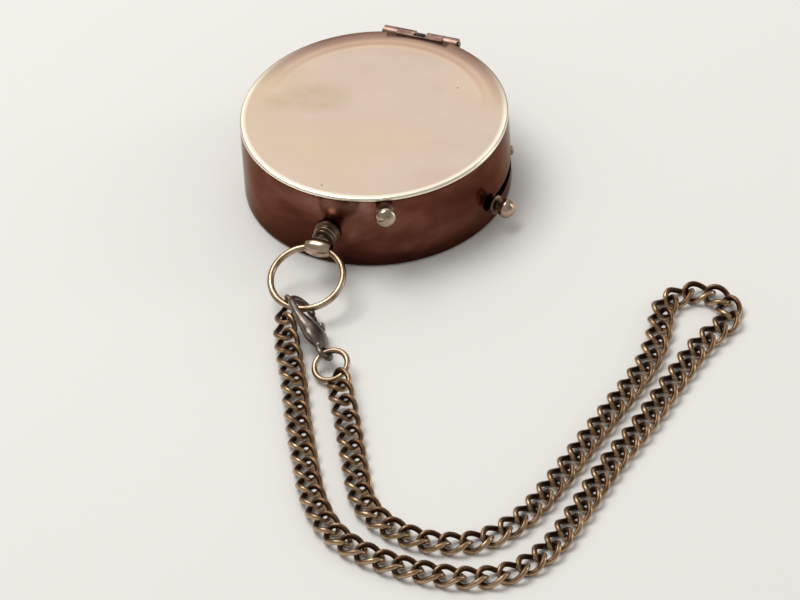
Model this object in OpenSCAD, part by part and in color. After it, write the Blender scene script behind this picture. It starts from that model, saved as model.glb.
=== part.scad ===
// Pocket compass in a round lidded case, with a bow ring, a clasp and a loop of curb chain.
// Millimetres. The origin is the centre of the case's underside, +Z is up,
// the pendant points along -Y and the lid's hinge is at +Y.

/* [Case] */
// Outer radius of the case
case_r = 25.5; // [24.5:0.5:29]
// Height from the underside to the top of the closed lid
case_h = 16.8; // [16.5:0.1:20]
// Thickness of the case wall
wall = 1.5; // [1.3:0.1:1.8]
// Thickness of the case floor
floor_t = 1.2; // [1:0.1:1.5]
// Rounding of the bottom edge
base_round = 0.8; // [0.4:0.1:1.1]
// Running clearance between pieces that move on each other
gap = 0.1; // [0.08:0.01:0.12]

/* [Lid] */
// Thickness of the lid plate
lid_t = 1.0; // [0.8:0.1:1.4]
// Depth of the skirt under the lid plate
skirt_h = 0.8; // [0.7:0.1:0.9]
// Thickness of the skirt
skirt_t = 0.7; // [0.6:0.1:0.8]
// Bevel on the lid's top edge
lid_bevel = 0.3; // [0.1:0.1:0.5]

/* [Hinge] */
// Length of the hinge barrel
hinge_w = 15; // [13:0.5:17]
// Radius of the hinge knuckles
knuckle_r = 1.2; // [1.1:0.05:1.3]
// Radius of the hinge pin
hinge_pin_r = 0.55; // [0.5:0.05:0.6]
// Turns of the lid spring
lid_spring_turns = 5; // [4:1:6]
// Wire diameter of the lid spring
lid_spring_wire = 0.3; // [0.25:0.05:0.35]

/* [Push button] */
// Direction of the button seen from above, in degrees
button_angle = 295; // [290:1:298]
// Diameter of the button's ball
button_ball_d = 4.0; // [3.4:0.2:4.4]
// Radius of the button's stem
button_stem_r = 0.8; // [0.7:0.05:0.85]
// Travel of the button
button_travel = 0.7; // [0.5:0.1:0.8]
// Thickness of the catch spring leaf
catch_t = 0.4; // [0.3:0.05:0.5]

/* [Needle lock] */
// Direction of the lock knob at rest, in degrees
lock_angle = 349; // [347:1:351]
// Travel of the lock knob along its slot, in degrees
lock_sweep = 27; // [22:1:27]
// Distance of the slot's middle below the dial
lock_drop = 2.6; // [2.4:0.1:2.8]
// Diameter of the lock knob's ball
lock_ball_d = 3.8; // [3.2:0.2:4.2]
// Radius of the lock knob's stem
lock_stem_r = 0.9; // [0.7:0.05:1]
// Direction of the lift arm's screw, in degrees
arm_angle = 26; // [26:1:29]
// Rise of the lift collar when the needle is locked
lift = 0.6; // [0.4:0.1:0.65]

/* [Dial and glass] */
// Height of the needle's cap over the dial
needle_stand = 1.6; // [1.4:0.1:1.8]
// Thickness of the dial plate
dial_t = 0.8; // [0.6:0.1:0.9]
// Width of the seat that carries the glass
glass_seat = 1.9; // [1.7:0.1:3.5]
// Thickness of the glass
glass_t = 1.1; // [0.9:0.1:1.2]
// Thickness of the gasket under the glass
gasket_t = 0.3; // [0.2:0.05:0.35]
// Height of the retaining ring over the glass
retainer_h = 1.0; // [0.8:0.1:1.2]

/* [Needle] */
// Length of the needle from tip to tip
needle_l = 31; // [26:1:33]
// Width of the needle at its middle
needle_w = 4.2; // [3.6:0.2:5]
// Thickness of the needle blade
needle_t = 0.35; // [0.25:0.05:0.45]

/* [Pendant and bow ring] */
// Height of the pendant's axis
pendant_z = 7.8; // [7:0.1:8.6]
// Distance from the case wall to the middle of the pendant ball
pendant_reach = 5; // [4.6:0.1:6]
// Width of the pendant ball
pendant_ball_d = 5; // [4.6:0.1:5.4]
// Radius of the bow ring, to the middle of its wire
bow_r = 6.85; // [6:0.05:8]
// Wire diameter of the bow ring
bow_wire = 1.3; // [1.1:0.1:1.4]
// Height of the bow ring's outer end above the surface
bow_end_z = 3.6; // [3.4:0.1:4]

/* [Clasp] */
// Inner radius of the clasp's hook
hook_r = 1.9; // [1.85:0.05:2.1]
// Thickness of the clasp's hook
hook_wire = 1.4; // [1.2:0.1:1.5]
// Distance from the hook's centre to the middle of the tail eye
clasp_l = 12.6; // [12:0.2:14]
// Width of the clasp's body
clasp_w = 5.6; // [5:0.2:6]
// Inner radius of the tail eye
eye_r = 1.0; // [0.95:0.05:1.2]
// Radius of the jump ring, to the middle of its wire
jump_r = 3.2; // [3:0.1:3.6]
// Wire diameter of the jump ring
jump_wire = 1.1; // [0.9:0.1:1.2]

/* [Chain] */
// Outer length of a link
link_l = 5.7; // [5.6:0.1:6]
// Outer width of a link
link_w = 4.6; // [4.4:0.1:4.8]
// Wire diameter of a link
link_wire = 0.95; // [0.8:0.05:1]
// Twist of each end of a link against its middle, in degrees
link_twist = 45; // [40:1:48]
// Distance between the middles of neighbouring links
link_pitch = 3.42; // [3.3:0.02:3.5]

/* [Hidden] */

$fn = 96;
brass = "#8a6a4a";
dark_brass = "#4f2d26";
pale_brass = "#c9b08a";
steel = "#8c8c8c";

post_foot = 0.8;
post_foot_r = 1;
post_r = 0.6;
screw_r = 0.6;
spigot_r = 1.2;

// Heights worked out from the rim downwards
lid_z = case_h - lid_t;
rim_z = lid_z - gap;
bore_r = case_r - wall;
ring_fit = 0.1;
inner_r = bore_r - ring_fit;
ring_drop = 3.1;
ring_top = rim_z - ring_drop;
glass_top = ring_top - 0.2;
glass_z = glass_top - glass_t;
gasket_z = glass_z - gasket_t;

// Needle heights: locked, its cap just clears the glass
cap_h = 1.2;
cap_r = 1.9;
needle_cap_z = glass_z - cap_h - lift - gap;
blade_z = needle_cap_z + 0.25;
tip_z = needle_cap_z + 0.65;
collar_top = needle_cap_z - gap;
dial_top = needle_cap_z - needle_stand;
dial_z = dial_top - dial_t;

// Needle lock
lock_z = dial_z - lock_drop;
slot_r = lock_stem_r + gap;
arm_t = 0.5;
arm_z = lock_z - 0.3;
arm_pivot_r = bore_r - 0.8;
slider_out = bore_r - 0.15;
slider_t = 0.7;
tab_half = 1.7;
tab_h = 2.6;
window_top = dial_z - 0.6;

window_back = 27;
window_front = 12;
spacer_t = 1.9;
collar_r = 1.5;
finger_r = 16;
cap_neck_r = 1.2;
cup_r = 0.75;
dial_screw_angles = [90, 250];
dial_screw_r = 0.5;
dial_screw_l = 2.4;
head_h = 0.4;

// Hinge
hinge_y = case_r + 0.1;
hinge_z = lid_z - 0.3;
chord_y = hinge_y - knuckle_r - gap;
end_knuckle = 2.8;
lid_knuckle = 3.4;
lid_half = hinge_w / 2 - end_knuckle - gap;
notch_half = hinge_w / 2 + 0.1;
notch_z = hinge_z - knuckle_r - 0.7;

// Catch
button_z = rim_z - 1.7;
bush_r = button_stem_r + 0.35;
skirt_r = bore_r - 0.2;
lip_in = skirt_r - skirt_t - 0.5;
leaf_r = lip_in - 0.2;
leaf_z = ring_top + 0.15;
leaf_top = lid_z - skirt_h - 0.1;
catch_root = button_angle - 40;
catch_pin_r = leaf_r - 0.2;
lip_t = 0.3;
lip_half = 4;
nose_z = lid_z - skirt_h + lip_t + 0.1;
nose_t = 0.25;
nose_half = 2.5;
pad_r = 1.3;
pad_h = 0.4;
pad_fit = 0.4;
leaf_from = 2.6;
catch_screw_r = 0.5;
catch_screw_l = 2;
bush_flange = 0.3;
knob_stand = 0.6;
knob_reach = 3.2;

// Glass, inside the catch's pad
glass_r = catch_pin_r - pad_r - pad_fit;
view_r = glass_r - glass_seat;
seat_r = glass_r + ring_fit;
key_w = 1.2;

// Hinge strap of the lid
strap_z = lid_z + 0.05;
strap_h = lid_t - 0.2;
strap_t = 0.2;
pin_proud = 0.4;

// Bow ring
pendant_y = -(case_r + pendant_reach);
bow_tilt = asin((pendant_z - bow_end_z) / (2 * bow_r));
// Middle of the bow ring's wire at an angle from the ring's outer end
function bow_point(angle) = let (d = bow_r * (1 + cos(angle)))
    [bow_r * sin(angle), pendant_y - d * cos(bow_tilt), pendant_z - d * sin(bow_tilt)];

bow_sag = bow_r - sqrt(bow_r * bow_r - pendant_ball_d * pendant_ball_d / 4);
bow_hole_r = bow_wire / 2 + bow_sag + gap;

// Clasp, laid from the bow ring towards the jump ring
clasp_at = 12;
clasp_heading = -50;
clasp_roll = -45;
hook_mid = hook_r + hook_wire / 2;
hook_play = 0.1;
tip_angle = 75;
eye_wire = 1.0;
eye_z = 3;
clasp_pitch = asin((bow_point(clasp_at)[2] - eye_z) / clasp_l);
eye_mid = bow_point(clasp_at) + (clasp_l + hook_play) * ahead(clasp_heading, clasp_pitch);
body_x = 6.4;
gate_t = 0.9;
gate_pivot = [5.4, 1.5];
gate_tip = [1.9, 2.4];
gate_slot_back = 2.3;
gate_slot_l = 3.9;
rivet_r = 0.45;
rivet_l = 3;

// Jump ring, in the clasp's tail eye
jump_heading = -48;
jump_roll = 20;
jump_end_z = 1.9;
jump_tilt = asin((eye_z - jump_end_z) / (2 * jump_r));
jump_mid = eye_mid + (jump_r + 0.1) * ahead(jump_heading, jump_tilt);

// Unit vector at a heading on the surface and an angle down from it
function ahead(heading, down) = [cos(heading) * cos(down), sin(heading) * cos(down), -sin(down)];

// Route of the chain, from the bow ring round the loop to the jump ring. The points between
// are where the chain lies on the surface: x, y and the rise above its resting height
link_at = -14;
link_steps = 12;
link_sides = 5;
link_round = 1.06;
function link_point(a) =
    let (turn = link_twist * cos(a), w = (link_w - link_wire) / 2 * sin(a))
    [(link_l - link_wire) / 2 * cos(a), w * cos(turn), w * sin(turn)];
link_curve = [for (i = [0:link_steps - 1]) link_point(360 * (i + 0.5) / link_steps)];
link_rest_z = max([for (p = link_curve) p[2]]) + link_round * link_wire / 2;
laid = [[-0.5, -47.4, 1.3], [1.7, -52, 0.36], [6.2, -60.5, 0.03], [11, -70.5, 0],
    [16.2, -80.5, 0], [21.6, -90, 0], [28, -97, 0], [35.5, -100.5, 0],
    [45, -101.9, 0], [55, -101, 0], [62.4, -96.9, 0], [66.6, -89.1, 0],
    [68.2, -78.5, 0], [69.4, -65.5, 0], [71.6, -52.5, 0], [73, -40, 0], [74.3, -30, 0],
    [76, -24, 0], [77, -20.5, 0], [76, -17, 0], [73, -14.7, 0], [69.3, -14.6, 0],
    [66.2, -16.6, 0], [64.7, -20, 0], [65.2, -24, 0], [66.4, -30, 0], [66.6, -38.5, 0], [65, -49.5, 0],
    [63.2, -61.5, 0], [61.4, -73.5, 0], [59, -83.5, 0], [54, -91, 0], [46, -94, 0],
    [37.6, -92.8, 0], [30.6, -88, 0], [25.6, -79.5, 0], [20.4, -69.5, 0.05], [16.2, -62, 0.45]];
route_points = [bow_point(link_at), for (p = laid) p + [0, 0, link_rest_z],
    jump_mid + jump_r * ahead(jump_heading, jump_tilt)];
route_steps = 8;

// Catmull-Rom curve through four neighbouring points
function route_mix(a, b, c, d, t) =
    0.5 * (2 * b + (c - a) * t + (2 * a - 5 * b + 4 * c - d) * t * t
        + (3 * b - a - 3 * c + d) * t * t * t);
function held(i) = route_points[max(0, min(len(route_points) - 1, i))];
route = [for (i = [0:len(route_points) - 2]) for (k = [0:route_steps - 1])
    route_mix(held(i - 1), held(i), held(i + 1), held(i + 2), k / route_steps),
    held(len(route_points) - 1)];
run = [for (i = 0, s = 0; i < len(route);
    s = s + (i < len(route) - 1 ? norm(route[i + 1] - route[i]) : 0), i = i + 1) s];
route_l = run[len(run) - 1];
link_play = 0.38;
first_s = link_l / 2 - link_wire - bow_wire / 2 - link_play;
last_s = link_l / 2 - link_wire - jump_wire / 2 - link_play;
link_count = 1 + round((route_l - first_s - last_s) / link_pitch);
link_step = (route_l - first_s - last_s) / (link_count - 1);

// Point of the route at a distance along it
function along(s) =
    let (i = min(len(run) - 2, len([for (r = run) if (r <= s) 1]) - 1),
        t = (s - run[i]) / (run[i + 1] - run[i]))
    route[i] * (1 - t) + route[i + 1] * t;

// Number of links in each run of the chain, from the bow ring round to the jump ring
lead_outer = 14;
front = 11;
side_outer = 22;
far_turn = 7;
side_inner = 18;
lead_inner = 9;
front_s = lead_outer;
side_outer_s = front_s + front;
far_turn_s = side_outer_s + side_outer;
side_inner_s = far_turn_s + far_turn;
corner_s = side_inner_s + side_inner;
lead_inner_s = link_count - lead_inner;

// Swept wire
function unit(v) = v / norm(v);
function closed_slope(p, i) = unit(p[(i + 1) % len(p)] - p[(i + len(p) - 1) % len(p)]);
function open_slope(p, i) = unit(p[min(len(p) - 1, i + 1)] - p[max(0, i - 1)]);
function across(v, t) = unit(v - (v * t) * t);

// Points of the rings of a wire, where out[i] points away from the wire's bend
function wire_rings(p, slopes, out, r, sides) =
    [for (i = [0:len(p) - 1]) let (n = across(out[i], slopes[i]), b = cross(slopes[i], n))
        for (k = [0:sides - 1]) p[i] + r * (cos(360 * k / sides) * n + sin(360 * k / sides) * b)];

// Triangles between one ring of a wire and the next
function ring_faces(i, j, sides) =
    [for (k = [0:sides - 1]) let (m = (k + 1) % sides)
        each [[i * sides + k, j * sides + m, i * sides + m],
            [i * sides + k, j * sides + k, j * sides + m]]];

module closed_wire(p, out, d, sides) {
    n = len(p);
    slopes = [for (i = [0:n - 1]) closed_slope(p, i)];
    polyhedron(wire_rings(p, slopes, out, d / 2, sides),
        [for (i = [0:n - 1]) each ring_faces(i, (i + 1) % n, sides)]);
}

module open_wire(p, out, d, sides) {
    n = len(p);
    slopes = [for (i = [0:n - 1]) open_slope(p, i)];
    polyhedron(wire_rings(p, slopes, out, d / 2, sides),
        [for (i = [0:n - 2]) each ring_faces(i, i + 1, sides),
            for (k = [1:sides - 2]) [0, k, k + 1],
            for (k = [1:sides - 2]) [(n - 1) * sides, (n - 1) * sides + k + 1, (n - 1) * sides + k]]);
}

// One twisted link of curb chain, its length along X
module curb_link() closed_wire(link_curve, link_curve, link_wire * link_round, link_sides);

// Turn of a link about its own length: the end links stand up to hang on their rings
end_roll = 40;
roll_links = 4;
function link_turn(i) = end_roll
    * (max(0, 1 - (link_count - 1 - i) / roll_links) - max(0, 1 - i / roll_links));

// Links from one number up to another, each turned along the route
module links(first, count) for (i = [first:first + count - 1]) {
    s = first_s + i * link_step;
    d = along(min(route_l, s + link_step / 2)) - along(max(0, s - link_step / 2));
    translate(along(s)) rotate([link_turn(i), -asin(d[2] / norm(d)), atan2(d[1], d[0])]) curb_link();
}

// Half profile of a turned ball of a width and a length, a little flat at its poles
module ball_profile(d, l) intersection() {
    union() {
        translate([(d - l) / 2, 0]) circle(d = l);
        square([d - l, l], center = true);
    }
    translate([0, -l]) square([d, 2 * l]);
}

module ball(d, l) rotate_extrude() ball_profile(d, l);

// A ring of metal about Z
module tube(r_out, r_in, z, h) translate([0, 0, z]) difference() {
    cylinder(r = r_out, h = h);
    translate([0, 0, -1]) cylinder(r = r_in, h = h + 2);
}

// A sector about Z, wide enough to cut any ring
module sector(from, to, z, h) translate([0, 0, z]) rotate(from)
    rotate_extrude(angle = to - from) square([2 * case_r, h]);

// Turns a shape whose axis is Z to point outwards from the case at an angle and a height
module outwards(angle, z) rotate(angle) translate([0, 0, z]) rotate([0, 90, 0]) children();

module hinge_notch() translate([-notch_half, 0, notch_z]) cube([2 * notch_half, case_r + 1, case_h]);

// The slot that the lock knob runs along
module lock_slot() {
    difference() {
        sector(lock_angle, lock_angle + lock_sweep, lock_z - slot_r, 2 * slot_r);
        cylinder(r = bore_r - 1, h = case_h);
    }
    for (a = [lock_angle, lock_angle + lock_sweep])
        outwards(a, lock_z) translate([0, 0, bore_r - 1]) cylinder(r = slot_r, h = wall + 2);
}

module case_body() color(dark_brass) difference() {
    rotate_extrude($fn = 180) polygon([
        [0, 0], each [for (a = [-90:15:0]) [case_r - base_round + base_round * cos(a),
            base_round + base_round * sin(a)]],
        [case_r, rim_z], [bore_r, rim_z], [bore_r, floor_t], [0, floor_t]]);
    translate([0, 0, floor_t - post_foot]) cylinder(r = post_foot_r, h = floor_t);
    lock_slot();
    outwards(button_angle, button_z) cylinder(r = bush_r, h = case_r + 1);
    outwards(arm_angle, lock_z) cylinder(r = screw_r, h = case_r + 1);
    outwards(270, pendant_z) cylinder(r = spigot_r, h = case_r + 1);
    hinge_notch();
}

// The parted wall at the back that carries the outer knuckles
module case_hinge() color(dark_brass) difference() {
    union() {
        intersection() {
            tube(case_r, bore_r, notch_z, rim_z - notch_z);
            hinge_notch();
        }
        for (side = [-1, 1]) {
            barrel(side * (hinge_w / 2 - end_knuckle / 2), end_knuckle, knuckle_r);
            translate([side * (hinge_w - end_knuckle) / 2 - end_knuckle / 2, bore_r,
                hinge_z - knuckle_r + gap]) cube([end_knuckle, hinge_y - bore_r, knuckle_r - gap]);
        }
    }
    barrel(0, 2 * lid_half + 2 * gap, knuckle_r + gap);
    barrel(0, 2 * hinge_w, hinge_pin_r);
}

// A round bar along the hinge line, about its middle x
module barrel(x, length, r) translate([x - length / 2, hinge_y, hinge_z])
    rotate([0, 90, 0]) cylinder(r = r, h = length);

module lid_plate() color(pale_brass) difference() {
    union() {
        rotate_extrude($fn = 180) polygon([[0, lid_z], [case_r, lid_z],
            [case_r, case_h - lid_bevel], [case_r - lid_bevel, case_h], [0, case_h]]);
        tube(skirt_r, skirt_r - skirt_t, lid_z - skirt_h, skirt_h);
        intersection() {
            tube(skirt_r - skirt_t / 2, lip_in, lid_z - skirt_h, lip_t);
            sector(button_angle - lip_half, button_angle + lip_half, 0, case_h);
        }
    }
    translate([-case_r, chord_y, lid_z - 1]) cube([2 * case_r, wall + 2, lid_t + 2]);
}

module lid_hinge() color(pale_brass) difference() {
    union() {
        for (side = [-1, 1]) {
            barrel(side * (lid_half - lid_knuckle / 2), lid_knuckle, knuckle_r);
            translate([side * (lid_half - lid_knuckle / 2) - lid_knuckle / 2, chord_y, strap_z])
                cube([lid_knuckle, hinge_y - chord_y, strap_h]);
        }
        translate([-lid_half, chord_y, strap_z]) cube([2 * lid_half, strap_t, strap_h]);
    }
    barrel(0, 2 * hinge_w, hinge_pin_r + gap / 2);
}

module hinge_pin() color(steel) barrel(0, hinge_w + 2 * pin_proud, hinge_pin_r);

// Coil round the hinge pin that lifts the lid
module lid_spring() color(steel) {
    steps = 12;
    r = hinge_pin_r + lid_spring_wire / 2 + 0.08;
    pitch = lid_spring_wire * 1.15;
    n = lid_spring_turns * steps;
    turn = [for (i = [0:n]) [cos(360 * i / steps), sin(360 * i / steps)]];
    translate([-lid_spring_turns * pitch / 2, hinge_y, hinge_z])
        open_wire([for (i = [0:n]) [pitch * i / steps, r * turn[i][0], r * turn[i][1]]],
            [for (t = turn) [0, t[0], t[1]]], lid_spring_wire, 6);
}

// Ring in the bottom of the case that carries the dial, open where the needle lock works
module lower_ring() color(brass) difference() {
    tube(inner_r, inner_r - spacer_t, floor_t, dial_z - floor_t);
    sector(lock_angle - window_back, 360 + arm_angle + window_front, -1, window_top + 1);
    dial_screw_holes();
}

module dial_screw_holes() for (a = dial_screw_angles) rotate(a)
    translate([inner_r - spacer_t / 2, 0, dial_z - dial_screw_l]) cylinder(r = dial_screw_r, h = case_h);

module pivot_post() color(steel) rotate_extrude() polygon([[0, floor_t - post_foot],
    [post_foot_r, floor_t - post_foot], [post_foot_r, floor_t], [2 * post_foot_r + 0.3, floor_t],
    [2 * post_foot_r + 0.3, floor_t + post_foot], [post_r, floor_t + post_foot],
    [post_r, tip_z - 2 * post_r], [0.05, tip_z], [0, tip_z]]);

module dial_plate() color("ivory") difference() {
    translate([0, 0, dial_z]) cylinder(r = inner_r, h = dial_t);
    translate([0, 0, dial_z - 1]) cylinder(r = collar_r + 0.5, h = dial_t + 2);
    dial_screw_holes();
    for (a = dial_screw_angles) rotate(a) translate([inner_r - spacer_t / 2, 0, dial_top - head_h])
        cylinder(r = 1.5 * dial_screw_r, h = 1);
}

module dial_screws() color(brass) for (a = dial_screw_angles) rotate(a)
    translate([inner_r - spacer_t / 2, 0, 0]) {
        translate([0, 0, dial_z - dial_screw_l]) cylinder(r = dial_screw_r, h = dial_screw_l + dial_t - head_h);
        translate([0, 0, dial_top - head_h]) cylinder(r = 1.5 * dial_screw_r, h = head_h);
    }

// Ring over the dial, with the seat for the glass
module upper_ring() color(brass) difference() {
    tube(inner_r, view_r + 0.2, dial_top, ring_top - dial_top);
    translate([0, 0, gasket_z]) cylinder(r = seat_r, h = case_h);
    rotate(catch_root) translate([catch_pin_r, 0, ring_top - catch_screw_l])
        cylinder(r = catch_screw_r, h = case_h);
}

module glass_gasket() color("dimgray") tube(glass_r, view_r + 0.3, gasket_z, gasket_t);

module glass() color("lightblue", 0.4) translate([0, 0, glass_z]) cylinder(r = glass_r, h = glass_t);

// Ring that holds the glass down, with two notches for its key
module retaining_ring() color(brass) difference() {
    rotate_extrude() polygon([[view_r, glass_top], [glass_r, glass_top],
        [glass_r, glass_top + retainer_h], [view_r + 0.6, glass_top + retainer_h],
        [view_r, glass_top + retainer_h / 2]]);
    for (a = [0, 180]) rotate(a) translate([view_r - 1, -key_w / 2, glass_top + retainer_h / 2])
        cube([glass_seat + 2, key_w, retainer_h]);
}

// Blade of the needle, pointed at both ends
module needle() color("steelblue") translate([0, 0, blade_z]) linear_extrude(needle_t) difference() {
    union() {
        polygon([[0, needle_l / 2], [-needle_w / 2, 0], [0, -needle_l / 2], [needle_w / 2, 0]]);
        circle(r = needle_w / 2 + 0.4);
    }
    circle(r = cap_neck_r);
}

// Brass cap that the needle turns on
module needle_cap() color(brass) translate([0, 0, needle_cap_z]) rotate_extrude() polygon([
    [cup_r, 0], [cap_r, 0], [cap_r, blade_z - needle_cap_z], [cap_neck_r, blade_z - needle_cap_z],
    [cap_neck_r, blade_z - needle_cap_z + needle_t], [cap_neck_r + 0.3, blade_z - needle_cap_z + needle_t],
    [cap_neck_r + 0.3, cap_h - 0.3], [cap_neck_r - 0.2, cap_h], [0, cap_h],
    [0, tip_z - needle_cap_z + 0.1], [cup_r, tip_z - needle_cap_z - cup_r / 2]]);

// Arm that lifts the needle off its post when the lock knob is pushed along
module lift_arm() color(steel) difference() {
    union() {
        translate([0, 0, arm_z]) cylinder(r = collar_r, h = collar_top - arm_z);
        translate([0, 0, arm_z]) cylinder(r = collar_r + 1.2, h = arm_t);
        rotate(arm_angle) translate([0, 0, arm_z]) linear_extrude(arm_t) polygon([
            [0, -collar_r - 0.4], [arm_pivot_r, -tab_half], [arm_pivot_r, tab_half],
            [0, collar_r + 0.4]]);
        rotate(arm_angle) intersection() {
            tube(slider_out, arm_pivot_r - 0.2, lock_z - tab_h / 2, tab_h);
            translate([0, -tab_half, 0]) cube([case_r, 2 * tab_half, case_h]);
        }
    }
    translate([0, 0, arm_z - 1]) cylinder(r = post_r + 0.35, h = case_h);
    outwards(arm_angle, lock_z) translate([0, 0, arm_pivot_r - 2]) cylinder(r = screw_r + gap, h = case_r);
}

module arm_screw() color(brass) outwards(arm_angle, lock_z) {
    translate([0, 0, arm_pivot_r - 0.6]) cylinder(r = screw_r, h = case_r - arm_pivot_r + 0.6);
    translate([0, 0, case_r]) rotate_extrude() polygon([[0, 0], [1.6 * screw_r, 0],
        each [for (a = [0:15:90]) [1.6 * screw_r * cos(a), 0.1 + screw_r * sin(a)]]]);
}

// Curved strip behind the slot, with the finger that slides under the lift arm
module lock_slider() color(brass) difference() {
    union() {
        intersection() {
            tube(slider_out, slider_out - slider_t, floor_t + 0.3, window_top - floor_t - 0.5);
            sector(lock_angle - 18, lock_angle + 4.5, 0, case_h);
        }
        rotate(lock_angle + 2.6) translate([finger_r, -0.8, lock_z - 1.4])
            cube([slider_out - slider_t / 2 - finger_r, 1.6, arm_z - lock_z + 1.3]);
    }
    outwards(lock_angle, lock_z) translate([0, 0, slider_out - 2]) cylinder(r = lock_stem_r, h = case_r);
}

// Ball, neck, collar and stem of a knob, outwards from r_in; the stem starts at r_in
module knob(r_in, r_ball, d, l, stem_r, collar_r, collar_h) {
    translate([0, 0, r_in]) cylinder(r = stem_r, h = r_ball - r_in);
    translate([0, 0, r_ball]) ball(d, l);
    if (collar_h > 0) translate([0, 0, case_r + knob_stand]) cylinder(r = collar_r, h = collar_h);
}

module lock_knob() color(brass) outwards(lock_angle, lock_z)
    knob(slider_out - slider_t, case_r + knob_reach, lock_ball_d, 0.88 * lock_ball_d,
        lock_stem_r, lock_ball_d / 2, 0.5);

module button_bush() color(brass) outwards(button_angle, button_z) difference() {
    union() {
        translate([0, 0, bore_r]) cylinder(r = bush_r, h = wall + bush_flange);
        translate([0, 0, case_r]) cylinder(r = bush_r + 0.5, h = bush_flange);
    }
    translate([0, 0, bore_r - 1]) cylinder(r = button_stem_r + gap / 2, h = case_r);
}

module push_button() color(brass) outwards(button_angle, button_z)
    knob(leaf_r + gap / 2, case_r + bush_flange + button_travel + gap + 0.375 * button_ball_d,
        button_ball_d, 0.75 * button_ball_d, button_stem_r, 0, 0);

// Curved leaf whose nose holds the lid's lip, turned by the button about its screw
module catch_spring() color(steel) difference() {
    union() {
        intersection() {
            tube(leaf_r, leaf_r - catch_t, leaf_z, leaf_top - leaf_z);
            sector(catch_root + leaf_from, button_angle + lip_half, 0, case_h);
        }
        intersection() {
            union() {
                tube(leaf_r, leaf_r - catch_t, leaf_z, nose_z + nose_t - leaf_z);
                tube(lip_in + 0.3, leaf_r - catch_t, nose_z, nose_t);
            }
            sector(button_angle - nose_half, button_angle + nose_half, 0, case_h);
        }
        rotate(catch_root) translate([catch_pin_r, 0, ring_top + gap / 2])
            cylinder(r = pad_r, h = pad_h);
    }
    rotate(catch_root) translate([catch_pin_r, 0, ring_top - 1])
        cylinder(r = catch_screw_r + gap / 2, h = case_h);
}

module catch_screw() color(steel) rotate(catch_root) translate([catch_pin_r, 0, 0]) {
    translate([0, 0, ring_top - catch_screw_l]) cylinder(r = catch_screw_r, h = catch_screw_l + pad_h + gap);
    translate([0, 0, ring_top + pad_h + gap]) cylinder(r = 1.8 * catch_screw_r, h = 0.5);
}

// Turned stem and ball that the bow ring hangs in
module pendant() color(brass) difference() {
    outwards(270, pendant_z) translate([0, 0, case_r]) rotate_extrude() {
        polygon([[0, -wall], [spigot_r, -wall], [spigot_r, 0], [2.6, 0], [2.6, 0.5],
            [2.1, 0.7], [2.1, 1.1], [2.35, 1.25], [2.35, 1.5], [1.9, 1.7], [1.9, 2.1], [2.1, 2.25],
            [2.1, 2.45], [1.5, 2.7], [1.5, pendant_reach], [0, pendant_reach]]);
        translate([0, pendant_reach]) ball_profile(pendant_ball_d, 0.8 * pendant_ball_d);
    }
    translate([-case_r, pendant_y, pendant_z]) rotate([0, 90, 0]) cylinder(r = bow_hole_r, h = 2 * case_r);
}

module bow_ring() color(brass) translate([0, pendant_y, pendant_z]) rotate([bow_tilt, 0, 0])
    translate([0, -bow_r, 0]) wire_ring(bow_r, bow_wire);

module wire_ring(r, d) rotate_extrude() translate([r, 0]) circle(d = d, $fn = 32);

// Puts a shape drawn about the hook's centre, its length along X, where the clasp lies
module at_clasp() translate(bow_point(clasp_at)) rotate([clasp_roll, clasp_pitch, clasp_heading])
    translate([hook_play, 0, 0]) children();

module clasp_body() color("#6d675f") at_clasp() difference() {
    union() {
        rotate(tip_angle) rotate_extrude(angle = 270 - tip_angle)
            translate([hook_mid, 0]) circle(d = hook_wire, $fn = 32);
        translate([0, -hook_mid, 0]) rotate([0, 90, 0]) cylinder(d = hook_wire, h = body_x - 2.4);
        hull() {
            translate([body_x - 2.4, -hook_mid + 0.1, 0]) sphere(d = hook_wire, $fn = 24);
            translate([body_x, 0, 0]) scale([1, 1, 0.5]) sphere(d = clasp_w, $fn = 32);
            translate([clasp_l - eye_r - 1, 0, 0]) sphere(d = hook_wire, $fn = 24);
        }
        translate([clasp_l, 0, 0]) wire_ring(eye_r + eye_wire / 2, eye_wire);
    }
    translate([gate_pivot[0] - gate_slot_back, gate_pivot[1] - gate_t, -gate_t / 2 - gap])
        cube([gate_slot_l, clasp_w, gate_t + 2 * gap]);
    translate([gate_pivot[0], gate_pivot[1], -clasp_w]) cylinder(r = rivet_r, h = 2 * clasp_w);
}

// Sprung gate of the clasp, with its thumb tab
module clasp_lever() color("#6d675f") at_clasp() translate([0, 0, -gate_t / 2])
    linear_extrude(gate_t) difference() {
        union() {
            translate(gate_pivot) circle(r = gate_t, $fn = 32);
            polygon([gate_tip + [0, 0.45], gate_tip - [0, 0.45], gate_pivot - [0, gate_t],
                gate_pivot + [0, gate_t]]);
            translate((gate_pivot + gate_tip) / 2 + [0.2, gate_t - 0.2]) circle(r = 0.6, $fn = 24);
        }
        translate(gate_pivot) circle(r = rivet_r + gap / 2, $fn = 32);
    }

module clasp_rivet() color(steel) at_clasp()
    translate([gate_pivot[0], gate_pivot[1], -rivet_l / 2]) cylinder(r = rivet_r, h = rivet_l);

module jump_ring() color(brass) translate(jump_mid) rotate([jump_roll, jump_tilt, jump_heading])
    wire_ring(jump_r, jump_wire);

module chain_lead_outer() color(brass) links(0, lead_outer);
module chain_front() color(brass) links(front_s, front);
module chain_side_outer() color(brass) links(side_outer_s, side_outer);
module chain_far_turn() color(brass) links(far_turn_s, far_turn);
module chain_side_inner() color(brass) links(side_inner_s, side_inner);
module chain_corner() color(brass) links(corner_s, lead_inner_s - corner_s);
module chain_lead_inner() color(brass) links(lead_inner_s, lead_inner);

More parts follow.
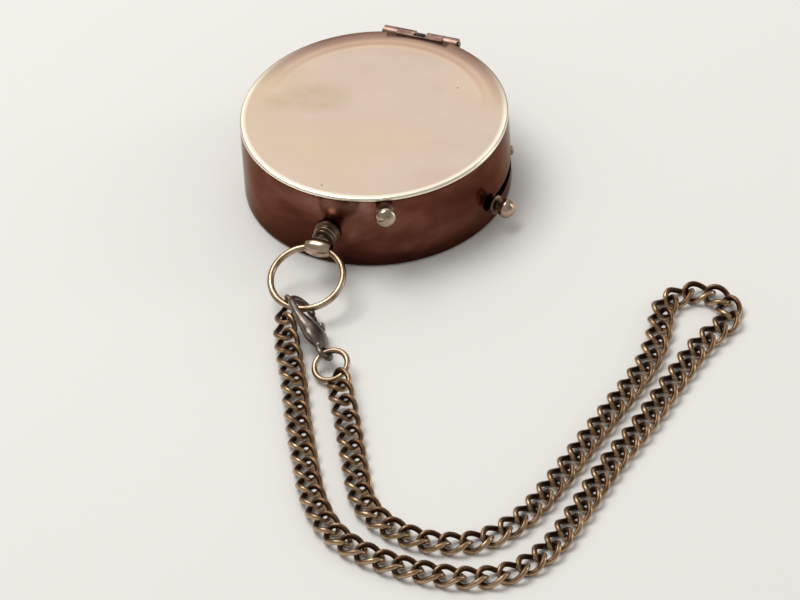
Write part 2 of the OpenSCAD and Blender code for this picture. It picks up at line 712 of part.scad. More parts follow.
case_body();
case_hinge();
lid_plate();
lid_hinge();
hinge_pin();
lid_spring();
lower_ring();
pivot_post();
dial_plate();
dial_screws();
upper_ring();
glass_gasket();
glass();
retaining_ring();
needle();
needle_cap();
lift_arm();
arm_screw();
lock_slider();
lock_knob();
button_bush();
push_button();
catch_spring();
catch_screw();
pendant();
bow_ring();
clasp_body();
clasp_lever();
clasp_rivet();
jump_ring();
chain_lead_outer();
chain_lead_inner();
chain_front();
chain_side_outer();
chain_far_turn();
chain_side_inner();
chain_corner();
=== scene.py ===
"""Pocket compass in a round lidded case, with a bow ring, a clasp and a loop of curb chain."""
import math

import bmesh
import bpy
from mathutils import Euler, Matrix, Vector


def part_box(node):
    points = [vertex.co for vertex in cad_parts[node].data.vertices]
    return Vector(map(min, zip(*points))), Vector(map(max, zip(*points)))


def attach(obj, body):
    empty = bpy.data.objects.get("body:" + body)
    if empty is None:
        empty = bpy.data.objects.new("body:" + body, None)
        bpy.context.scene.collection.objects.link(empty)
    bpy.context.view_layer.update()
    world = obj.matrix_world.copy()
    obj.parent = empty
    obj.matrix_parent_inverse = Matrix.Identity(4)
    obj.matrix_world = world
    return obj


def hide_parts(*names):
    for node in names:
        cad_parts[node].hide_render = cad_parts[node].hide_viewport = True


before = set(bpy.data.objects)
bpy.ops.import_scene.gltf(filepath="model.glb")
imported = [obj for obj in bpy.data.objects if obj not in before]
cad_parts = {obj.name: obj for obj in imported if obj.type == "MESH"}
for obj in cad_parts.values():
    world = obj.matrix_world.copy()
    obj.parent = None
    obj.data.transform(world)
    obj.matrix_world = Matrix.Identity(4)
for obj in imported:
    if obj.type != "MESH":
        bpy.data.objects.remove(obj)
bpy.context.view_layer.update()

# Lengths below are millimetres, and angles are degrees, until a mesh is made
MM = 0.001
Z = Vector((0, 0, 1))


def low(node):
    """Lowest corner of a CAD node, in millimetres."""
    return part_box(node)[0] / MM


def high(node):
    """Highest corner of a CAD node, in millimetres."""
    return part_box(node)[1] / MM


def show(name, data):
    """Puts data in the scene as an object of its own."""
    thing = bpy.data.objects.new(name, data)
    bpy.context.scene.collection.objects.link(thing)
    return thing


# Camera, where the photograph was taken from
CAMERA_PLACE = Vector((385.7, -904.9, 802.4))
CAMERA_AZIMUTH = 22.93
CAMERA_RISE = 40.24
CAMERA_ROLL = -3.68
CAMERA_LENS = 299.2
SENSOR_WIDTH = 36


def make_camera():
    """The photograph's camera, from its place, its heading, how far it looks down and its roll."""
    turn = math.radians(CAMERA_AZIMUTH)
    rise = math.radians(CAMERA_RISE)
    roll = math.radians(CAMERA_ROLL)
    back = Vector((math.sin(turn) * math.cos(rise), -math.cos(turn) * math.cos(rise), math.sin(rise)))
    level = Vector((math.cos(turn), math.sin(turn), 0))
    up = back.cross(level)
    right = math.cos(roll) * level + math.sin(roll) * up
    top = math.cos(roll) * up - math.sin(roll) * level
    data = bpy.data.cameras.new("camera")
    data.sensor_width = SENSOR_WIDTH
    data.lens = CAMERA_LENS
    camera = show("camera", data)
    facing = Matrix((right, top, back)).transposed().to_4x4()
    camera.matrix_world = Matrix.Translation(CAMERA_PLACE * MM) @ facing
    bpy.context.scene.camera = camera


make_camera()

# Colours and nodes


def linear(code):
    """Linear colour of an sRGB hex value."""
    parts = [int(code[i:i + 2], 16) / 255 for i in (1, 3, 5)]
    return [c / 12.92 if c <= 0.04045 else ((c + 0.055) / 1.055) ** 2.4 for c in parts] + [1.0]


def per(size):
    """Scale of a texture whose features are this many millimetres across."""
    return 1 / (size * MM)


def add(tree, kind, inputs=(), stops=(), **settings):
    """Adds a node with its settings, its inputs as values or links, and a ramp's stops."""
    node = tree.nodes.new(kind)
    for name, value in settings.items():
        setattr(node, name, value)
    for key, value in dict(inputs).items():
        if isinstance(value, bpy.types.NodeSocket):
            tree.links.new(value, node.inputs[key])
        else:
            node.inputs[key].default_value = value
    if stops:
        elements = node.color_ramp.elements
        while len(elements) < len(stops):
            elements.new(1)
        for element, (place, colour) in zip(elements, stops):
            element.position = place
            element.color = linear(colour)
    return node


def new_material(name, **values):
    """A material, its tree and its shader, with the shader's even values set."""
    material = bpy.data.materials.new(name)
    material.use_nodes = True
    tree = material.node_tree
    shader = tree.nodes["Principled BSDF"]
    for key, value in values.items():
        label = "IOR" if key == "ior" else key.replace("_", " ").title()
        shader.inputs[label].default_value = value
    return material, tree, shader


# Where noise has most of its values
NOISE_REACH = {"From Min": 0.3, "From Max": 0.7}

# How far apart the marks of each finish are, in millimetres
LID_DRIFT = 38
LID_SMOKE = 8
LID_HAZE = 9
SPECK_SPACING = 7
CASE_STAIN = 16
CASE_RUB = 3
ORANGE_PEEL = 0.5
TOOL_RINGS = 0.8
BLUED_BLOOM = 3
ENAMEL_AGE = 8
INK_WEAR = 1.2
FELT_GRAIN = 0.4
GLASS_SMEAR = 7

# Marks and painted light on the lid: smudge and rim edge in millimetres, bands of painted reflection and of
# rim highlight in shares of its radius, specks of their spacing
SMUDGE_PLACE = (-14, 0, 0)
SMUDGE_L = 12
SMUDGE_W = 6
# Painted dark reflection: where it starts and where it is full, towards the hinge and towards the rim
HINGE_BAND = (0.15, 0.75)
RIM_BAND = (0.76, 0.97)
# Painted rim highlight: where it starts to fade into painted dark reflection towards the hinge, and where the
# fade ends
RIM_LIGHT_TO_SHADE = (0.1, 0.8)
RIM_EDGE = (1.3, 0.6)
RIM_SLANT = -0.15
SPECK_EDGE = (0.03, 0.055)
SPECK_DEPTH = 0.75
SPECK_CHANCE = 0.72


def clouded(name, stops, patch, **values):
    """A surface whose colour drifts between stops in patches this many millimetres across."""
    material, tree, shader = new_material(name, **values)
    place = add(tree, "ShaderNodeTexCoord").outputs["Object"]
    clouds = add(tree, "ShaderNodeTexNoise", {"Vector": place, "Scale": per(patch), "Detail": 4.0})
    colour = add(tree, "ShaderNodeValToRGB", {"Fac": clouds.outputs["Fac"]}, stops)
    tree.links.new(colour.outputs["Color"], shader.inputs["Base Color"])
    return material, tree, shader, place


def tarnished(name, stops, patch, rough, marks=0.35):
    """Metal whose colour drifts between stops in patches, with a finer mottle in its roughness."""
    material, tree, shader, place = clouded(name, stops, patch, metallic=1.0)
    mottle = add(tree, "ShaderNodeTexNoise", {"Vector": place, "Scale": per(marks), "Detail": 3.0})
    dull = add(tree, "ShaderNodeMapRange", {
        "Value": mottle.outputs["Fac"], **NOISE_REACH, "To Min": rough[0], "To Max": rough[1]})
    tree.links.new(dull.outputs["Result"], shader.inputs["Roughness"])
    return material, tree, shader, place


def lid_clouds(tree, place):
    """The lid's ground colour, which drifts, and its smudge, thickest in the middle."""
    turned = add(tree, "ShaderNodeMapping", {
        "Vector": place, "Rotation": (0.0, 0.0, math.radians(-CAMERA_AZIMUTH)), "Scale": (0.6, 1.1, 1.0)})
    drift = add(tree, "ShaderNodeTexNoise", {
        "Vector": turned.outputs["Vector"], "Scale": per(LID_DRIFT), "Detail": 1.5})
    ground = add(tree, "ShaderNodeValToRGB", {"Fac": drift.outputs["Fac"]}, [
        (0.3, "#d2b797"), (0.42, "#cfb9a1"), (0.52, "#ccb8a9"), (0.62, "#ceb4a2"), (0.74, "#d9bd9f")])
    spot = add(tree, "ShaderNodeMapping", {
        "Vector": place, "Location": Vector(SMUDGE_PLACE) * MM,
        "Rotation": (0.0, 0.0, math.radians(CAMERA_AZIMUTH)),
        "Scale": (SMUDGE_L * MM, SMUDGE_W * MM, 1.0)}, vector_type="TEXTURE")
    away = add(tree, "ShaderNodeVectorMath", {0: spot.outputs["Vector"]}, operation="LENGTH")
    near = add(tree, "ShaderNodeMapRange", {
        "Value": away.outputs["Value"], "From Min": 0.2, "From Max": 1.0, "To Min": 0.75, "To Max": 0.08},
        interpolation_type="SMOOTHSTEP")
    smoke = add(tree, "ShaderNodeTexNoise", {
        "Vector": turned.outputs["Vector"], "Scale": per(LID_SMOKE), "Detail": 3.0})
    thick = add(tree, "ShaderNodeMapRange", {
        "Value": smoke.outputs["Fac"], "From Min": 0.34, "From Max": 0.62})
    smudge = add(tree, "ShaderNodeMath", {
        0: thick.outputs["Result"], 1: near.outputs["Result"]}, operation="MULTIPLY")
    return add(tree, "ShaderNodeMix", {
        0: smudge.outputs["Value"], 6: ground.outputs["Color"], 7: linear("#b7a280")},
        data_type="RGBA").outputs[2]


def lid_specks(tree, place):
    """How much each point of the lid is darkened by the few small pits in it."""
    cells = add(tree, "ShaderNodeTexVoronoi", {"Vector": place, "Scale": per(SPECK_SPACING)})
    chance = add(tree, "ShaderNodeSeparateColor", {"Color": cells.outputs["Color"]})
    few = add(tree, "ShaderNodeMath", {0: chance.outputs["Red"], 1: SPECK_CHANCE}, operation="GREATER_THAN")
    dot = add(tree, "ShaderNodeMapRange", {
        "Value": cells.outputs["Distance"], "From Min": SPECK_EDGE[0], "From Max": SPECK_EDGE[1],
        "To Min": SPECK_DEPTH, "To Max": 0.0})
    return add(tree, "ShaderNodeMath", {
        0: dot.outputs["Result"], 1: few.outputs["Value"]}, operation="MULTIPLY").outputs["Value"]


def lid_brass():
    """Buffed brass gone cloudy: pale champagne with a smudge and pits, painted dark reflection towards the far
    rim by the hinge, and a painted highlight on the near rim that turns to painted dark reflection by the
    hinge.
    """
    material, tree, shader = new_material("buffed_champagne_brass", metallic=1.0)
    place = add(tree, "ShaderNodeTexCoord").outputs["Object"]
    radius = CASE_R * MM
    flat = add(tree, "ShaderNodeVectorMath", {0: place, 1: (1.0, 1.0, 0.0)}, operation="MULTIPLY")
    reach = add(tree, "ShaderNodeVectorMath", {0: flat.outputs["Vector"]},
                operation="LENGTH").outputs["Value"]
    parts = add(tree, "ShaderNodeSeparateXYZ", {"Vector": place})
    towards_hinge = add(tree, "ShaderNodeMath", {
        0: parts.outputs["X"], 1: RIM_SLANT, 2: parts.outputs["Y"]}, operation="MULTIPLY_ADD").outputs["Value"]
    near_hinge = add(tree, "ShaderNodeMapRange", {
        "Value": towards_hinge, "From Min": HINGE_BAND[0] * radius, "From Max": HINGE_BAND[1] * radius})
    near_rim = add(tree, "ShaderNodeMapRange", {
        "Value": reach, "From Min": RIM_BAND[0] * radius, "From Max": RIM_BAND[1] * radius})
    # Painted dark reflection: the lid turns rose brown towards its rim on the far side, by the hinge
    far_edge_painted_reflection = add(tree, "ShaderNodeValToRGB", {"Fac": near_rim.outputs["Result"]}, [
        (0.0, "#cdb8a6"), (0.2, "#d6bb9e"), (0.36, "#bb9c88"), (0.52, "#c9a88f"), (0.72, "#a28373"),
        (1.0, "#8c6c5e")])
    shown = add(tree, "ShaderNodeMapRange", {"Value": near_rim.outputs["Result"], "From Max": 0.2})
    painted_reflection_mask = add(tree, "ShaderNodeMath", {
        0: near_hinge.outputs["Result"], 1: shown.outputs["Result"]}, operation="MULTIPLY")
    clouds_and_painted_reflection = add(tree, "ShaderNodeMix", {
        0: painted_reflection_mask.outputs["Value"], 6: lid_clouds(tree, place), 7: far_edge_painted_reflection.outputs["Color"]}, data_type="RGBA")
    pitted = add(tree, "ShaderNodeMix", {
        0: lid_specks(tree, place), 6: clouds_and_painted_reflection.outputs[2], 7: linear("#5a4434")}, data_type="RGBA")
    # Painted rim light: a cream highlight on the near rim that turns to a dark painted reflection by the hinge
    edge = add(tree, "ShaderNodeMapRange", {
        "Value": reach, "From Min": (CASE_R - RIM_EDGE[0]) * MM, "From Max": (CASE_R - RIM_EDGE[1]) * MM})
    far_rim_shade = add(tree, "ShaderNodeMapRange", {
        "Value": towards_hinge, "From Min": RIM_LIGHT_TO_SHADE[0] * radius, "From Max": RIM_LIGHT_TO_SHADE[1] * radius})
    rim = add(tree, "ShaderNodeMix", {
        0: far_rim_shade.outputs["Result"], 6: linear("#f7ecd8"), 7: linear("#80624f")}, data_type="RGBA")
    with_painted_rim_light = add(tree, "ShaderNodeMix", {
        0: edge.outputs["Result"], 6: pitted.outputs[2], 7: rim.outputs[2]}, data_type="RGBA")
    tree.links.new(with_painted_rim_light.outputs[2], shader.inputs["Base Color"])
    haze = add(tree, "ShaderNodeTexNoise", {"Vector": place, "Scale": per(LID_HAZE), "Detail": 5.0})
    dull = add(tree, "ShaderNodeMapRange", {
        "Value": haze.outputs["Fac"], **NOISE_REACH, "To Min": 0.22, "To Max": 0.34})
    tree.links.new(dull.outputs["Result"], shader.inputs["Roughness"])
    return material


def case_brass():
    """Antiqued and lacquered brass: a deep copper brown in stains, with painted shade darkening it low down
    and a painted pink reflection lightening it up high.
    """
    material, tree, shader = new_material(
        "antiqued_copper_brown_brass", metallic=1.0, specular_tint=linear("#dcc6bb"), coat_weight=0.08,
        coat_roughness=0.08)
    place = add(tree, "ShaderNodeTexCoord").outputs["Object"]
    wide = add(tree, "ShaderNodeMapping", {"Vector": place, "Scale": (1.0, 1.0, 1.8)})
    stain = add(tree, "ShaderNodeTexNoise", {
        "Vector": wide.outputs["Vector"], "Scale": per(CASE_STAIN), "Detail": 4.0, "Distortion": 0.5})
    parts = add(tree, "ShaderNodeSeparateXYZ", {"Vector": place})
    # Painted shade low on the wall and painted reflection high on it: the stains' tone is shifted by height
    rise = add(tree, "ShaderNodeMapRange", {
        "Value": parts.outputs["Z"], "From Min": 0.0, "From Max": LID_LOW * MM,
        "To Min": -0.13, "To Max": 0.11})
    stain_and_painted_light = add(tree, "ShaderNodeMath", {0: stain.outputs["Fac"], 1: rise.outputs["Result"]}, operation="ADD")
    colour = add(tree, "ShaderNodeValToRGB", {"Fac": stain_and_painted_light.outputs["Value"]}, [
        (0.26, "#3a1a12"), (0.42, "#4c261c"), (0.54, "#5e3428"), (0.66, "#754b3f"), (0.8, "#93695f")])
    tree.links.new(colour.outputs["Color"], shader.inputs["Base Color"])
    around = add(tree, "ShaderNodeMapping", {"Vector": place, "Scale": (0.12, 0.12, 2.2)})
    rub = add(tree, "ShaderNodeTexNoise", {
        "Vector": around.outputs["Vector"], "Scale": per(CASE_RUB), "Detail": 5.0})
    dull = add(tree, "ShaderNodeMapRange", {
        "Value": rub.outputs["Fac"], **NOISE_REACH, "To Min": 0.14, "To Max": 0.26})
    tree.links.new(dull.outputs["Result"], shader.inputs["Roughness"])
    return material


def hinge_brass():
    """The hinge's brass: a dusty rose brown, duller than the lid."""
    return tarnished("dusty_rose_brass", [(0.3, "#6f574c"), (0.5, "#8e7265"), (0.7, "#ab9084")],
                     2.5, (0.3, 0.42))[0]


def dark_steel():
    """Spring steel gone grey-brown with age."""
    return tarnished("aged_spring_steel", [(0.3, "#4a4541"), (0.5, "#625c56"), (0.7, "#7d766e")],
                     1.5, (0.3, 0.44))[0]


def knob_brass():
    """Polished old brass: a pale, almost silvery gold that drifts browner in patches."""
    return tarnished("polished_old_brass", [(0.3, "#8a7865"), (0.5, "#ad9b87"), (0.7, "#cfc0ad")],
                     2.2, (0.1, 0.18))[0]


def ring_brass():
    """Drawn brass wire, paler where it rubs."""
    return tarnished("rubbed_brass_wire", [(0.3, "#7e6953"), (0.5, "#a38c74"), (0.7, "#c5af98")],
                     3, (0.2, 0.34))[0]


def rubbed_brass(name, stops, grain, rough):
    """Antiqued brass that is pale where its crown attribute is high and dark elsewhere: partly rubbed wear and
    patina, partly painted highlight and painted shade.
    """
    material, tree, shader = new_material(name, metallic=1.0)
    place = add(tree, "ShaderNodeTexCoord").outputs["Object"]
    crown = add(tree, "ShaderNodeAttribute", attribute_name="crown")
    stain = add(tree, "ShaderNodeTexNoise", {"Vector": place, "Scale": per(grain), "Detail": 4.0})
    uneven = add(tree, "ShaderNodeMapRange", {
        "Value": stain.outputs["Fac"], **NOISE_REACH, "To Min": -0.22, "To Max": 0.22})
    # Light where the crown attribute is high and dark where it is low: partly wear and patina, partly painted
    # highlight and painted shade
    worn = add(tree, "ShaderNodeMath", {
        0: crown.outputs["Fac"], 1: uneven.outputs["Result"]}, operation="ADD")
    colour = add(tree, "ShaderNodeValToRGB", {"Fac": worn.outputs["Value"]}, stops)
    tree.links.new(colour.outputs["Color"], shader.inputs["Base Color"])
    dull = add(tree, "ShaderNodeMapRange", {
        "Value": worn.outputs["Value"], "To Min": rough[0], "To Max": rough[1]})
    tree.links.new(dull.outputs["Result"], shader.inputs["Roughness"])
    return material


def chain_brass():
    """Antiqued curb chain: links tan on their outer sides, partly rubbed wear and partly painted highlight,
    and dark brown inside, partly patina and partly painted shade.
    """
    return rubbed_brass("antiqued_chain_brass", [
        (0.12, "#402a1c"), (0.42, "#5c432f"), (0.68, "#7e634a"), (0.95, "#b99c7c")], 1.6, (0.5, 0.26))


def pendant_brass():
    """Turned pendant: brown in its grooves, partly patina and partly painted shade, and pale on its ridges and
    its bead, partly rubbed wear and partly painted highlight.
    """
    return rubbed_brass("rubbed_pendant_brass", [
        (0.12, "#35281f"), (0.42, "#6a5444"), (0.7, "#97806c"), (0.98, "#c6b09a")], 2, (0.4, 0.16))


def gunmetal():
    """Gunmetal plating on a die casting: a dull grey with a faint orange-peel surface."""
    material, tree, shader, place = tarnished(
        "gunmetal_plating", [(0.3, "#594f48"), (0.5, "#746a62"), (0.72, "#978c83")], 2, (0.26, 0.4))
    peel = add(tree, "ShaderNodeTexNoise", {"Vector": place, "Scale": per(ORANGE_PEEL), "Detail": 2.0})
    relief = add(tree, "ShaderNodeBump", {
        "Height": peel.outputs["Fac"], "Strength": 0.25, "Distance": 0.04 * MM})
    tree.links.new(relief.outputs["Normal"], shader.inputs["Normal"])
    return material


def turned_brass():
    """Brass turned on a lathe: a warm yellow with rings of tool marks, drawn coarse enough to show."""
    material, tree, shader, place = tarnished(
        "turned_brass", [(0.3, "#a58a58"), (0.5, "#b99e69"), (0.7, "#cab07c")], 7, (0.25, 0.31), 2.5)
    rings = add(tree, "ShaderNodeTexWave", {"Vector": place, "Scale": per(TOOL_RINGS), "Distortion": 0.3},
                wave_type="RINGS", rings_direction="Z")
    relief = add(tree, "ShaderNodeBump", {
        "Height": rings.outputs["Fac"], "Strength": 0.6, "Distance": 0.015 * MM})
    tree.links.new(relief.outputs["Normal"], shader.inputs["Normal"])
    return material


def bright_steel():
    """Drawn and ground steel: a cool grey with a slight blur."""
    return tarnished("ground_steel", [(0.3, "#8c8d8f"), (0.5, "#a6a7a9"), (0.7, "#c0c1c3")],
                     2, (0.22, 0.36))[0]


def needle_steel():
    """Steel needle blued at its north end and left white at its south end."""
    material, tree, shader = new_material("blued_and_white_steel", metallic=1.0, roughness=0.28)
    place = add(tree, "ShaderNodeTexCoord").outputs["Object"]
    parts = add(tree, "ShaderNodeSeparateXYZ", {"Vector": place})
    north = add(tree, "ShaderNodeMapRange", {
        "Value": parts.outputs["Y"], "From Min": -0.2 * MM, "From Max": 0.2 * MM})
    bloom = add(tree, "ShaderNodeTexNoise", {"Vector": place, "Scale": per(BLUED_BLOOM), "Detail": 3.0})
    blue = add(tree, "ShaderNodeValToRGB", {"Fac": bloom.outputs["Fac"]}, [
        (0.35, "#182a52"), (0.65, "#2d4a86")])
    colour = add(tree, "ShaderNodeMix", {
        0: north.outputs["Result"], 6: linear("#c9c9c6"), 7: blue.outputs["Color"]}, data_type="RGBA")
    tree.links.new(colour.outputs[2], shader.inputs["Base Color"])
    return material


def dial_enamel():
    """Fired enamel, cream with age and faintly speckled, under its own gloss."""
    material, tree, shader = new_material("cream_enamel", coat_weight=0.6, coat_roughness=0.06)
    place = add(tree, "ShaderNodeTexCoord").outputs["Object"]
    age = add(tree, "ShaderNodeTexNoise", {"Vector": place, "Scale": per(ENAMEL_AGE), "Detail": 6.0})
    colour = add(tree, "ShaderNodeValToRGB", {"Fac": age.outputs["Fac"]}, [
        (0.3, "#ebdfc2"), (0.5, "#f3ebd6"), (0.7, "#f8f3e5")])
    tree.links.new(colour.outputs["Color"], shader.inputs["Base Color"])
    grain = add(tree, "ShaderNodeMapRange", {"Value": age.outputs["Fac"], "To Min": 0.3, "To Max": 0.5})
    tree.links.new(grain.outputs["Result"], shader.inputs["Roughness"])
    return material


def dial_ink(name, thick, thin):
    """Enamel ink, fired on: it goes from its thick colour to its thin one in small worn patches."""
    return clouded(name, [(0.35, thick), (0.75, thin)], INK_WEAR)[0]


def gasket_fibre():
    """Black vulcanised fibre: matt, with a fine felted grain."""
    return clouded("black_fibre", [(0.3, "#151413"), (0.7, "#2b2926")], FELT_GRAIN, roughness=0.8)[0]


def watch_glass():
    """Flat mineral glass: clear, with its gloss a little uneven from handling."""
    material, tree, shader = new_material("mineral_glass", transmission_weight=1.0, ior=1.5)
    place = add(tree, "ShaderNodeTexCoord").outputs["Object"]
    smear = add(tree, "ShaderNodeTexNoise", {"Vector": place, "Scale": per(GLASS_SMEAR), "Detail": 3.0})
    dull = add(tree, "ShaderNodeMapRange", {"Value": smear.outputs["Fac"], "To Min": 0.0, "To Max": 0.03})
    tree.links.new(dull.outputs["Result"], shader.inputs["Roughness"])
    return material


# Mesh making


def make_piece(name, form, material, place=Matrix.Identity(4), sharp=40):
    """Object at the origin from a bmesh drawn in millimetres, smooth except at edges past the angle."""
    bmesh.ops.remove_doubles(form, verts=form.verts, dist=1e-4)
    bmesh.ops.recalc_face_normals(form, faces=form.faces)
    form.transform(Matrix.Scale(MM, 4) @ place)
    mesh = bpy.data.meshes.new(name)
    form.to_mesh(mesh)
    form.free()
    mesh.shade_smooth()
    mesh.set_sharp_from_angle(angle=math.radians(sharp))
    mesh.materials.append(material)
    return show(name, mesh)


def new_tree(name, result, inputs):
    """A tree of geometry nodes with its named inputs, and one named result."""
    tree = bpy.data.node_groups.new(name, "GeometryNodeTree")
    for label, kind in inputs.items():
        tree.interface.new_socket(label, in_out="INPUT", socket_type="NodeSocket" + kind)
    tree.interface.new_socket(result, in_out="OUTPUT", socket_type="NodeSocketGeometry")
    return tree


def settle(piece):
    """Turns what a piece's modifiers make into its own plain mesh."""
    graph = bpy.context.evaluated_depsgraph_get()
    made = bpy.data.meshes.new_from_object(piece.evaluated_get(graph))
    piece.modifiers.clear()
    piece.data = made


def run_tree(piece, tree, **values):
    """Sets a tree's named inputs on a piece, then keeps what the tree makes."""
    maker = piece.modifiers.new("maker", "NODES")
    maker.node_group = tree
    for entry in tree.interface.items_tree:
        key = entry.name.lower().replace(" ", "_")
        if entry.in_out == "INPUT" and key in values:
            maker[entry.identifier] = values[key]
    settle(piece)


def cut(piece, cutter, how="DIFFERENCE"):
    """Cuts one piece with another, and deletes the cutter."""
    knife = piece.modifiers.new("cut", "BOOLEAN")
    knife.operation = how
    knife.solver = "EXACT"
    knife.object = cutter
    settle(piece)
    bpy.data.objects.remove(cutter)


def skin(form, rings, closed):
    """Faces between rings of vertices, with the ends capped unless the rings close on themselves."""
    count = len(rings)
    for i in range(count if closed else count - 1):
        near = rings[i]
        far = rings[(i + 1) % count]
        for k in range(len(near)):
            m = (k + 1) % len(near)
            form.faces.new((near[k], near[m], far[m], far[k]))
    if not closed:
        form.faces.new(rings[0])
        form.faces.new(rings[-1])


def sweep(form, centres, outs, radii, sides, closed=False):
    """Sweeps an oval along points: out is each ring's first axis, and radii are (out, across)."""
    count = len(centres)
    angles = [2 * math.pi * k / sides for k in range(sides)]
    rings = []
    for i, centre in enumerate(centres):
        ahead = centres[(i + 1) % count] if closed or i < count - 1 else centre
        behind = centres[i - 1] if closed or i > 0 else centre
        slope = (ahead - behind).normalized()
        out = (outs[i] - outs[i].dot(slope) * slope).normalized()
        across = slope.cross(out)
        rings.append([form.verts.new(
            centre + radii[i][0] * math.cos(a) * out + radii[i][1] * math.sin(a) * across) for a in angles])
    skin(form, rings, closed)
    return rings


def lathe(form, profile, segments, start=0, turn=360):
    """Turns a closed half profile of (radius, height) about Z, all round or through part of a turn."""
    whole = turn == 360
    stations = segments if whole else segments + 1
    rings = []
    for i in range(stations):
        a = math.radians(start + turn * i / segments)
        rings.append([form.verts.new((r * math.cos(a), r * math.sin(a), z)) for r, z in profile])
    skin(form, rings, whole)


def arc(centre, radius, start, end, steps):
    """Points of an arc in the plane of a profile."""
    angles = [math.radians(start + (end - start) * i / steps) for i in range(steps + 1)]
    return [(centre[0] + radius * math.cos(a), centre[1] + radius * math.sin(a)) for a in angles]


def block(lo, hi):
    """A box between two corners, as a cutter."""
    form = bmesh.new()
    bmesh.ops.create_cube(form, size=1)
    size = Vector(hi) - Vector(lo)
    middle = (Vector(hi) + Vector(lo)) / 2
    form.transform(Matrix.Translation(middle) @ Matrix.Diagonal(size).to_4x4())
    return make_piece("block", form, None)


def rod(radius, lo, hi):
    """A bar along X, as a cutter."""
    form = bmesh.new()
    lathe(form, [(0, lo), (radius, lo), (radius, hi), (0, hi)], segments=64)
    return make_piece("rod", form, None, Matrix.Rotation(math.radians(90), 4, "Y"))


# Sizes taken from the frame
CASE_R = high("case_body").x
LID_TOP = high("lid_plate").z
LID_LOW = low("lid_plate").z
DIAL_TOP = high("dial_plate").z

# Lid
LID_PLATE = 1.0
LID_CROWN = 0.3
LID_ROUND = 0.4
LID_UNDER = 0.1
SKIRT_T = 0.7
SKIRT_FIT = 1.7
LIP_REACH = 0.5
LIP_T = 0.3
LIP_HALF = 4
BUTTON_ANGLE = 295
LID_CHORD = 24.3
CROWN_STEPS = 14


def make_lid(material):
    """The lid: a crowned disc with a rounded rim, flat at its hinge, with its skirt and the catch's lip."""
    underside = LID_TOP - LID_PLATE
    skirt_out = CASE_R - SKIRT_FIT
    skirt_in = skirt_out - SKIRT_T
    edge = CASE_R - LID_ROUND
    crown = [(edge * (1 - i / CROWN_STEPS), LID_TOP - LID_CROWN * (1 - i / CROWN_STEPS) ** 4)
             for i in range(CROWN_STEPS + 1)]
    form = bmesh.new()
    lathe(form, [
        (0, underside), (skirt_in, underside), (skirt_in, LID_LOW), (skirt_out, LID_LOW),
        (skirt_out, underside), (CASE_R - LID_UNDER, underside), (CASE_R, underside + LID_UNDER),
        *arc((edge, LID_TOP - LID_CROWN - LID_ROUND), LID_ROUND, 0, 84, 7), *crown], segments=240)
    lid = make_piece("lid_plate_crowned", form, material)
    cut(lid, block((-CASE_R, LID_CHORD, LID_LOW), (CASE_R, CASE_R + 1, LID_TOP + 1)))
    lip_in = skirt_in - LIP_REACH
    lip_out = skirt_in + SKIRT_T / 2
    form = bmesh.new()
    lathe(form, [(lip_in, LID_LOW), (lip_out, LID_LOW), (lip_out, LID_LOW + LIP_T),
                 (lip_in, LID_LOW + LIP_T)],
          segments=8, start=BUTTON_ANGLE - LIP_HALF, turn=2 * LIP_HALF)
    cut(lid, make_piece("lip", form, material), "UNION")
    return lid


# Pendant, in its own frame: Z points away from the case's wall, and the stem's outline is (radius, Z)
PENDANT_Z = (low("pendant").z + high("pendant").z) / 2
PENDANT_REACH = 5
SPIGOT_R = 1.2
WALL = 1.5
STEM = [
    (2.6, 0), *arc((2.35, 0.3), 0.25, -20, 90, 4), (2.1, 0.7), (1.95, 0.85), (1.95, 1.25),
    *arc((2.05, 1.58), 0.28, -80, 80, 6), (1.85, 1.98), (1.8, 2.15), *arc((1.95, 2.5), 0.27, -80, 80, 6),
    (1.65, 2.92), (1.5, 3.2)]
STEM_END_R = 1.3
FLANGE_END = 0.6
GROOVE_R = 1.75
RIDGE_R = 2.3
BEAD_L = 6.8
BEAD_H = 3.4
BEAD_STEPS = 40

# Bow ring, and its hole through the bead
BOW_R = 6.85
BOW_WIRE = 1.3
BOW_HOLE = 1.17

# Turned pieces: the angle past which an edge stays sharp, and how light each part is painted, partly as rubbed
# wear and partly as painted highlight
TURNED_SHARP = 50
FLANGE_WEAR_AND_SHEEN = 0.3
RIDGE_WEAR_AND_SHEEN = 0.6
BEAD_WEAR_AND_SHEEN = 0.85
BALL_WEAR_AND_SHEEN = 0.9
COLLAR_WEAR_AND_SHEEN = 0.6


def mark_crown(piece, place, worn):
    """Keeps on a piece how light each point of it is painted, partly as rubbed wear and partly as painted
    highlight and shade, worked out in the frame that it was drawn in.
    """
    crown = piece.data.attributes.new("crown", "FLOAT", "POINT")
    back = place.inverted()
    for vertex, mark in zip(piece.data.vertices, crown.data):
        mark.value = worn(back @ (vertex.co / MM))


